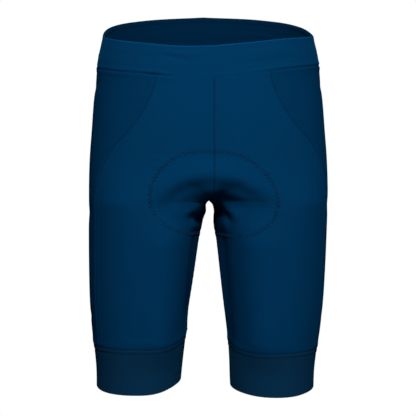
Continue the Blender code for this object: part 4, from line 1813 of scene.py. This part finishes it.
@dataclass
class Waistband:
    """The wide elastic band, with a rounded top edge turned over to the inside."""

    cutting: Cutting
    coarse: dict[Side, Array]
    seams: Seams
    thickness: float = 0.0022
    height: float = 0.043
    turned: float = 0.0065
    turned_lift: float = 0.0010
    seam_sink: float = 0.0006
    lip_lift: float = 0.0005
    lip_place: float = 0.0030
    lip_width: float = 0.0024
    seam_width: float = 0.0010
    waver: float = 0.25
    ripple: float = 0.0002
    ripple_paces: tuple[float, float] = (3.0, 0.05)
    ripple_start: tuple[float, float] = (0.004, 0.010)
    turned_blend: float = 0.0004
    top_rows: tuple[float, ...] = (0.0, 0.0008, 0.0016, 0.0026)
    top_room: float = 1.1
    seam_room: float = 0.02
    lip_place_down: float = 0.0004
    fine_rows: int = 11
    patch: Patch = field(init=False)

    def __post_init__(self) -> None:
        """Lay the band out on the bare surface, round by the left hip and back by the right."""
        cut = self.cutting
        step = self.height / cut.band_rows
        seam = cut.band_rows - np.array(cut.edge_places)[::-1] / step
        top = np.array(self.top_rows) / step
        even = np.linspace(0.0, cut.band_rows, cut.band_rows * self.fine_rows + 1)
        even = even[(even > top[-1] * self.top_room) & (even < seam[0] - self.seam_room)]
        rows = (np.concatenate([top, even, seam, [float(cut.band_rows)]]),)
        across = cut.columns_across()
        halves = [cut.fine(self.coarse[side], side, rows, across, 0, 0) for side in Side]
        self.patch = Patch(
            np.concatenate([halves[0].points, halves[1].points[:, -2::-1]], axis=1),
            np.concatenate([halves[0].normals, halves[1].normals[:, -2::-1]], axis=1),
        )

    def build(self, relief: Relief) -> bpy.types.Object:
        """Make the band.

        Args:
            relief: The cloth's relief.

        Returns:
            The band.
        """
        bare = self.patch.opened()
        down, run, away = bare.down_columns(), bare.along_rows(), bare.from_edges()["bottom"]
        height = relief(bare.points)
        depth = self.seams.waist_depth(bare.points)
        height -= self.seam_sink * bell(away, self.seam_width) * depth
        lip = self.lip_lift * bell(away - self.lip_place, self.lip_width)
        height += lip * (1 + self.waver * unevenness(run)) * depth
        waves = unevenness(down * self.ripple_paces[0] + run * self.ripple_paces[1])
        height += self.ripple * waves * smooth_step(*self.ripple_start, down)
        outer, inner, keep = lipped(bare.raised(height), self.thickness, at_top=True)
        kept = self.patch.down_columns()[keep]
        extra = len(outer) - len(kept)
        lip = np.linspace(0.0, self.lip_place_down, extra)[:, None]
        full = np.vstack([np.repeat(lip, kept.shape[1], axis=1), kept])
        low, high = self.turned - self.turned_blend, self.turned + self.turned_blend
        step = self.turned_lift * (1 - smooth_step(low, high, full[:, :-1]))
        step[:extra] *= np.linspace(0.0, 1.0, extra)[:, None]
        inward = np.vstack([np.repeat(bare.normals[:1], extra, axis=0), bare.normals[keep]])
        inner = inner - inward * step[..., None]
        across = self.patch.along_rows()
        across = np.vstack([np.repeat(across[:1], extra, axis=0), across[keep]])
        place = np.stack([across, full], axis=-1)
        piece = ClothMesh("waist_band", outer, inner, place, True, False).build()
        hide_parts("waistband")
        return piece


@dataclass
class SeatPad:
    """The moulded pad behind the crotch, thick in its middle, with pressed channels."""

    pad: PadMap
    wall: float = 0.0020
    clearance: float = 0.0016
    sag: float = 0.0016
    thickness: float = 0.0080
    edge: float = 0.0020
    channel: float = 0.0018
    channel_width: float = 0.0026
    channel_rings: tuple[float, ...] = (0.42, 0.74)
    channel_floor: float = 1.5
    dome_power: int = 3
    sag_power: int = 4

    def build(self, relief: Relief) -> bpy.types.Object:
        """Make the pad.

        Args:
            relief: The cloth's relief.

        Returns:
            The pad.
        """
        points, normals = self.pad.points, self.pad.normals
        lifted = np.minimum(relief.creases(points), 0.0)
        shares = np.arange(1, self.pad.rings + 1) / self.pad.rings
        body = self.edge + (self.thickness - self.edge) * (1 - shares ** self.dome_power)
        thickness = np.repeat(body[:, None], self.pad.turns, axis=1)
        size = np.linalg.norm(points - self.pad.centre, axis=2)
        for ring in self.channel_rings:
            gap = (shares[:, None] - ring) * size[-1]
            deep_enough = thickness > self.edge * self.channel_floor
            thickness -= self.channel * bell(gap, self.channel_width) * deep_enough
        sink = self.wall + self.clearance + self.sag * (1 - shares[:, None] ** self.sag_power)
        outer = points + normals * (lifted - sink)[..., None]
        inner = outer - normals * thickness[..., None]
        down = np.array([0.0, 0.0, -1.0])
        deep = self.wall + self.clearance + self.sag
        tips = [self.pad.centre - deep * down, self.pad.centre - (deep + self.thickness) * down]
        rings, turns = points.shape[:2]
        count = rings * turns
        number = np.arange(count).reshape(rings, turns)
        number = np.hstack([number, number[:, :1]])
        cells = np.stack([corner.ravel() for corner in around(number)], axis=1)
        faces = cells[:, [0, 3, 2, 1]].tolist() + (cells + count).tolist()
        for first, second in zip(number[0], number[0, 1:]):
            faces.append([2 * count, second, first])
            faces.append([2 * count + 1, first + count, second + count])
        for first, second in zip(number[-1], number[-1, 1:]):
            faces.append([first, second, second + count, first + count])
        every = np.vstack([outer.reshape(-1, 3), inner.reshape(-1, 3), tips])
        piece = mesh_object("seat_pad_foam", every, faces, every[np.concatenate(faces), :2])
        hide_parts("seat_pad")
        return piece


# ---------------------------------------------------------------- stitching
@dataclass
class Stitch:
    """One stitch of thread, modelled once and copied along the seams."""

    sides: int = 6
    body_share: float = 0.72
    tip_share: float = 0.45
    least_level: float = 0.9
    decimals: int = 6
    points: Array = field(init=False)
    faces: list[list[int]] = field(init=False)

    def __post_init__(self) -> None:
        """Model the stitch, one metre long and one metre in radius, upright at the origin."""
        bpy.ops.object.select_all(action="DESELECT")
        bpy.ops.mesh.primitive_cylinder_add(vertices=self.sides, radius=1.0, depth=self.body_share)
        thread = bpy.context.object
        tip = (1.0 - self.body_share) / 2
        for end in (1.0, -1.0):
            bpy.ops.object.mode_set(mode="EDIT")
            bpy.ops.mesh.select_all(action="DESELECT")
            bpy.ops.object.mode_set(mode="OBJECT")
            for face in thread.data.polygons:
                face.select = face.normal.z * end > self.least_level
            bpy.ops.object.mode_set(mode="EDIT")
            bpy.ops.mesh.select_mode(type="FACE")
            bpy.ops.mesh.extrude_region_move(TRANSFORM_OT_translate={"value": (0.0, 0.0, end * tip)})
            bpy.ops.transform.resize(value=(self.tip_share, self.tip_share, 1.0))
            bpy.ops.object.mode_set(mode="OBJECT")
        bpy.ops.object.mode_set(mode="EDIT")
        bpy.ops.mesh.select_all(action="SELECT")
        bpy.ops.mesh.bisect(plane_co=(0.0, 0.0, 0.0), plane_no=(0.0, 0.0, 1.0))
        bpy.ops.object.mode_set(mode="OBJECT")
        # edit mode leaves corners and faces in an order that changes from run to run
        points = np.round([list(vertex.co) for vertex in thread.data.vertices], self.decimals) + 0.0
        order = np.lexsort(points.T)
        number = np.argsort(order)
        loops = [number[list(face.vertices)].tolist() for face in thread.data.polygons]
        firsts = [loop.index(min(loop)) for loop in loops]
        self.points = points[order]
        self.faces = sorted(loop[first:] + loop[:first] for loop, first in zip(loops, firsts))
        bpy.data.objects.remove(thread, do_unlink=True)

    def sewn(self, name: str, starts: Array, ends: Array, normals: Array, radius: float,
             arch: float) -> bpy.types.Object:
        """Copy the stitch from each start to its end, joined as one piece.

        Args:
            name: The piece's name.
            starts: Where each stitch starts.
            ends: Where it ends.
            normals: The way out of the cloth at each stitch.
            radius: The thread's radius.
            arch: How far a stitch's middle rises.

        Returns:
            The stitches as one object.
        """
        run = ends - starts
        ahead = unit(run)
        out = unit(normals - np.sum(normals * ahead, axis=1, keepdims=True) * ahead)
        beside = np.cross(out, ahead)
        x, y, z = self.points.T
        middle = (starts + ends) / 2
        points = (
            middle[:, None]
            + run[:, None] * z[None, :, None]
            + beside[:, None] * (radius * x)[None, :, None]
            + out[:, None] * (radius * y + arch * (1 - 4 * z * z))[None, :, None]
        )
        firsts = np.arange(len(starts)) * len(self.points)
        faces = [[corner + first for corner in face] for first in firsts.tolist() for face in self.faces]
        return mesh_object(name, points.reshape(-1, 3), faces)


@dataclass
class Stitching:
    """The thread in the seams and the zigzag round the pad."""

    stitch: Stitch
    pitch: float = 0.0028
    gap_share: float = 0.12
    radius: float = 0.00034
    sink: float = 0.00055
    zigzag_pitch: float = 0.0029
    zigzag_reach: float = 0.0031
    zigzag_radius: float = 0.00036
    arch: float = 0.0001
    zigzag_arch: float = 0.00025
    zigzag_waver: float = 0.30
    zigzag_pace: float = 1.7
    zigzag_sit: float = 0.5
    stand_off: float = 0.0085
    ray_reach: float = 0.0255

    def row(self, line: Array, normals: Array, relief: Relief) -> tuple[Array, Array, Array]:
        """Space stitches along a line of the cloth.

        Args:
            line: Points of the line on the bare surface.
            normals: The way out of the cloth at each point.
            relief: The cloth's relief, which the stitches follow.

        Returns:
            Each stitch's start, end and way out.
        """
        length = runs(line)[-1]
        count = max(int(round(length / self.pitch)), 1)
        low = (np.arange(count) + self.gap_share) / count
        high = (np.arange(count) + 1 - self.gap_share) / count
        lowered = line + normals * (relief(line) - self.sink)[:, None]
        way = resample_along(normals, line, (low + high) / 2)
        return resample(lowered, low), resample(lowered, high), unit(way)

    def seams(self, name: str, lines: Sequence[tuple[Array, Array]], relief: Relief) -> bpy.types.Object:
        """Sew several lines as one piece.

        Args:
            name: The piece's name.
            lines: Each line's points on the bare surface, and the way out at each.
            relief: The cloth's relief.

        Returns:
            The stitches as one object.
        """
        rows = [self.row(*line, relief) for line in lines]
        starts, ends, normals = (np.vstack(parts) for parts in zip(*rows))
        return self.stitch.sewn(name, starts, ends, normals, self.radius, self.arch)

    def landed(self, cloth: BVHTree, point: Array, out: Array) -> Vector:
        """Find where the cloth's face lies at a point, also where the point falls in a seam.

        Args:
            cloth: The cloth's faces.
            point: A point near the cloth.
            out: The way out of the cloth there.

        Returns:
            The place on the cloth.
        """
        start = Vector(point + out * self.stand_off)
        hit = cloth.ray_cast(start, Vector(-out), self.ray_reach)[0]
        return hit if hit is not None else cloth.find_nearest(start)[0]

    def zigzag(self, name: str, pad: PadMap, cloth: BVHTree) -> bpy.types.Object:
        """Sew the zigzag that holds the pad, on top of the cloth.

        Args:
            name: The piece's name.
            pad: The pad's rings.
            cloth: The cloth's faces.

        Returns:
            The stitches as one object.
        """
        edge = pad.edge()
        count = int(runs(edge)[-1] / self.zigzag_pitch) // 2 * 2
        shares = np.arange(count) / count
        middle = resample(edge, shares)
        ahead = unit(np.roll(middle, -1, axis=0) - np.roll(middle, 1, axis=0))
        normals = unit(resample_along(np.vstack([pad.normals[-1], pad.normals[-1, :1]]), edge, shares))
        beside = unit(np.cross(normals, ahead))
        swing = self.zigzag_reach * (1 + self.zigzag_waver * unevenness(shares * self.zigzag_pace))
        corners = middle + beside * (swing * np.where(np.arange(count) % 2, 1, -1))[:, None]
        landed = [list(self.landed(cloth, point, out)) for point, out in zip(corners, normals)]
        lifted = np.array(landed) + normals * self.zigzag_radius * self.zigzag_sit
        ends = np.roll(lifted, -1, axis=0)
        return self.stitch.sewn(name, lifted, ends, normals, self.zigzag_radius, self.zigzag_arch)


# ---------------------------------------------------------------- the studio
class Lamp(NamedTuple):
    """A soft square light, aimed at the middle of the shorts."""

    name: str
    place: tuple[float, float, float]
    size: float
    power: float


@dataclass
class Studio:
    """Camera, lights and floor."""

    target: Vector = field(default_factory=lambda: Vector((-0.0004, 0.0, -0.2215)))
    azimuth: float = math.radians(-4.5)
    elevation: float = math.radians(4.0)
    distance: float = 3.0
    frame_width: float = 0.59488
    sensor: float = 36.0
    floor_height: float = -0.75
    floor_size: float = 14.0
    floor_tone: float = 0.08
    floor_roughness: float = 0.9
    far: float = 60.0
    sky_colour: Colour = (0.80, 0.86, 1.0)
    sky_strength: float = 0.02
    lamps: tuple[Lamp, ...] = (
        Lamp("key", (-0.06, -2.36, 1.45), 0.8, 77.0),
        Lamp("right_side", (2.7, -1.0, 0.0), 0.9, 4.5),
        Lamp("back_left", (-1.3, 2.5, 0.5), 1.2, 5.0),
        Lamp("back", (0.5, 3.0, 0.9), 1.2, 38.0),
    )

    def camera(self) -> None:
        """Place the camera at the photograph's angle."""
        ahead = Vector((
            -math.sin(self.azimuth) * math.cos(self.elevation),
            math.cos(self.azimuth) * math.cos(self.elevation),
            -math.sin(self.elevation),
        ))
        data = bpy.data.cameras.new("camera")
        data.sensor_width = self.sensor
        data.lens = self.sensor * self.distance / self.frame_width
        data.clip_end = self.far
        camera = bpy.data.objects.new("camera", data)
        camera.location = self.target - ahead * self.distance
        camera.rotation_euler = ahead.to_track_quat("-Z", "Y").to_euler()
        bpy.context.scene.collection.objects.link(camera)
        bpy.context.scene.camera = camera

    def lights(self) -> None:
        """Add the soft lights."""
        for name, place, size, power in self.lamps:
            data = bpy.data.lights.new(name, "AREA")
            data.shape = "SQUARE"
            data.size = size
            data.energy = power
            lamp = bpy.data.objects.new(name, data)
            lamp.location = Vector(place)
            lamp.rotation_euler = (self.target - Vector(place)).to_track_quat("-Z", "Y").to_euler()
            bpy.context.scene.collection.objects.link(lamp)

    def seen_white(self, tree: bpy.types.NodeTree, lit: bpy.types.Node, kind: str) -> bpy.types.Node:
        """Let a plain backdrop look white, and light the shorts no more than its own tone does.

        Args:
            tree: The backdrop's nodes.
            lit: The shader that lights the shorts.
            kind: The white shader's type.

        Returns:
            The node that mixes the two.
        """
        path = tree.nodes.new("ShaderNodeLightPath")
        white = tree.nodes.new(kind)
        white.inputs["Color"].default_value = (1.0, 1.0, 1.0, 1.0)
        mix = tree.nodes.new("ShaderNodeMixShader")
        tree.links.new(path.outputs["Is Camera Ray"], mix.inputs[0])
        tree.links.new(lit.outputs[0], mix.inputs[1])
        tree.links.new(white.outputs[0], mix.inputs[2])
        return mix

    def backdrop(self) -> None:
        """Add the pale floor and surroundings."""
        bpy.ops.object.select_all(action="DESELECT")
        bpy.ops.mesh.primitive_plane_add(size=self.floor_size, location=(0.0, 0.0, self.floor_height))
        floor = bpy.context.object
        floor.name = "floor"
        material = bpy.data.materials.new("pale_floor")
        material.use_nodes = True
        tree = material.node_tree
        shader = tree.nodes["Principled BSDF"]
        shader.inputs["Base Color"].default_value = (*(self.floor_tone,) * 3, 1.0)
        shader.inputs["Roughness"].default_value = self.floor_roughness
        mix = self.seen_white(tree, shader, "ShaderNodeEmission")
        tree.links.new(mix.outputs[0], tree.nodes["Material Output"].inputs[0])
        floor.data.materials.append(material)
        world = bpy.data.worlds.new("studio")
        bpy.context.scene.world = world
        world.use_nodes = True
        tree = world.node_tree
        lit = tree.nodes["Background"]
        lit.inputs["Color"].default_value = (*self.sky_colour, 1.0)
        lit.inputs["Strength"].default_value = self.sky_strength
        mix = self.seen_white(tree, lit, "ShaderNodeBackground")
        tree.links.new(mix.outputs[0], tree.nodes["World Output"].inputs[0])

    def build(self) -> None:
        """Set the studio up."""
        bpy.context.scene.view_settings.view_transform = "Standard"
        self.camera()
        self.lights()
        self.backdrop()


# ---------------------------------------------------------------- the garment
def outer_tree(pieces: Sequence[bpy.types.Object]) -> BVHTree:
    """Index the cloth's faces, so that stitches can be set on it.

    Args:
        pieces: The cloth pieces.

    Returns:
        The tree of their faces.
    """
    points, faces = [], []
    for piece in pieces:
        start = len(points)
        points += [vertex.co.copy() for vertex in piece.data.vertices]
        faces += [[start + corner for corner in face.vertices] for face in piece.data.polygons]
    return BVHTree.FromPolygons(points, faces)


def sheet(piece: bpy.types.Object, material: bpy.types.Material, cut: Patch) -> None:
    """Dress a piece of cloth and measure its flat size and area, which are not kept."""
    dress(piece, material)
    cut.flat()
    cut.area()


class Shorts:
    """The whole garment, laid out on its bare surface before any piece is made."""

    KNIT_COLOUR = (0.0006, 0.0390, 0.1130)
    # share of painted shade on the side panels, which are the same cloth as the fronts
    SIDE_PAINTED_SHADE = 0.88
    PAD_FILL = 0.5

    def __init__(self) -> None:
        """Cut every piece and lay the creases over them."""
        form, seams = Form(), Seams()
        cutting = Cutting(form)
        coarse = {side: cutting.coarse(side) for side in Side}
        self.panels = {side: LegPanels(side, cutting, coarse[side], seams) for side in Side}
        self.cuffs = {side: Cuff(side, cutting, coarse[side]) for side in Side}
        self.band = Waistband(cutting, coarse, seams)
        self.pad = PadMap(form)
        patches = [patch for side in Side for patch in self.panels[side].patches.values()]
        patches += [self.cuffs[side].patch for side in Side] + [self.band.patch]
        self.relief = Relief(patches, self.pad)

    def make_cloth(self) -> list[bpy.types.Object]:
        """Make the panels, the cuffs and the band.

        Returns:
            The panels, which the pad is sewn to.
        """
        body_knit = KnitFinish("body_knit", self.KNIT_COLOUR).material()
        # the side panels are painted a touch darker than the fronts: painted shade where the light falls off
        # round the hips
        side_knit = KnitFinish("side_knit", shaded(self.KNIT_COLOUR, self.SIDE_PAINTED_SHADE)).material()
        # the band's top edge carries a painted highlight, partly a paler edge colour
        waist = KnitFinish("waist_knit", (0.0008, 0.0400, 0.1150), 0.58, sheen=0.10, edge_highlight_and_tone=0.35)
        cuff_elastic = ElasticFinish("cuff_elastic", (0.0035, 0.0330, 0.0830)).material()
        panels = []
        for side in Side:
            for name, piece in zip(LegPanels.NAMES, self.panels[side].build(self.relief)):
                material = side_knit if name == "side" else body_knit
                sheet(piece, material, self.panels[side].patches[name])
                panels.append(piece)
            cuff = self.cuffs[side]
            sheet(cuff.build(self.relief), cuff_elastic, cuff.patch)
        sheet(self.band.build(self.relief), waist.material(), self.band.patch)
        return panels

    def make_pad(self) -> None:
        """Make the seat pad."""
        foam = SeatPad(self.pad).build(self.relief)
        dress(foam, FleeceFinish("pad_fleece", (0.0120, 0.0240, 0.0450)).material())

    def seam_lines(self) -> dict[str, list[tuple[Array, Array]]]:
        """Give each seam's lines of thread by its name, with the way out of the cloth.

        Returns:
            Each line's points and the way out at each, by the name of the piece.
        """
        front, back = (self.panels[Side.LEFT].patches[name] for name in ("front", "back"))
        above = front.points[:, 0, 2] > CENTRE_BOTTOM
        band = self.band.patch
        lines = {
            "centre_front_thread": [(front.points[above, 0], front.normals[above, 0])],
            "centre_back_thread": [(back.points[above, -1], back.normals[above, -1])],
            "waist_seam_thread": [(band.points[-1], band.normals[-1])],
        }
        for side in Side:
            front, hip = (self.panels[side].patches[name] for name in ("front", "side"))
            cuff = self.cuffs[side].patch
            lines[f"inseam_thread_{side.word}"] = [(front.points[~above, 0], front.normals[~above, 0])]
            lines[f"hip_seam_threads_{side.word}"] = [
                (hip.points[:, column], hip.normals[:, column]) for column in (0, -1)
            ]
            lines[f"cuff_seam_thread_{side.word}"] = [(cuff.points[0], cuff.normals[0])]
        return lines

    def sew(self, panels: Sequence[bpy.types.Object]) -> None:
        """Sew every seam, and the zigzag on the finished panels.

        Args:
            panels: The finished panels.
        """
        centre_thread = ThreadFinish("navy_thread", (0.0006, 0.0090, 0.0340)).material()
        pad_thread = ThreadFinish("pad_thread", (0.0006, 0.0235, 0.0740)).material()
        thread = ThreadFinish("tonal_thread", (0.0007, 0.0250, 0.0760)).material()
        stitching = Stitching(Stitch())
        for name, lines in self.seam_lines().items():
            sewn = stitching.seams(name, lines, self.relief)
            dress(sewn, centre_thread if name.startswith("centre") else thread)
        zigzag = stitching.zigzag("pad_zigzag", self.pad, outer_tree(panels))
        dress(zigzag, pad_thread)


def main() -> None:
    """Build the shorts and the studio."""
    shorts = Shorts()
    panels = shorts.make_cloth()
    shorts.make_pad()
    shorts.sew(panels)
    Studio().build()


if __name__ == "__main__":
    main()
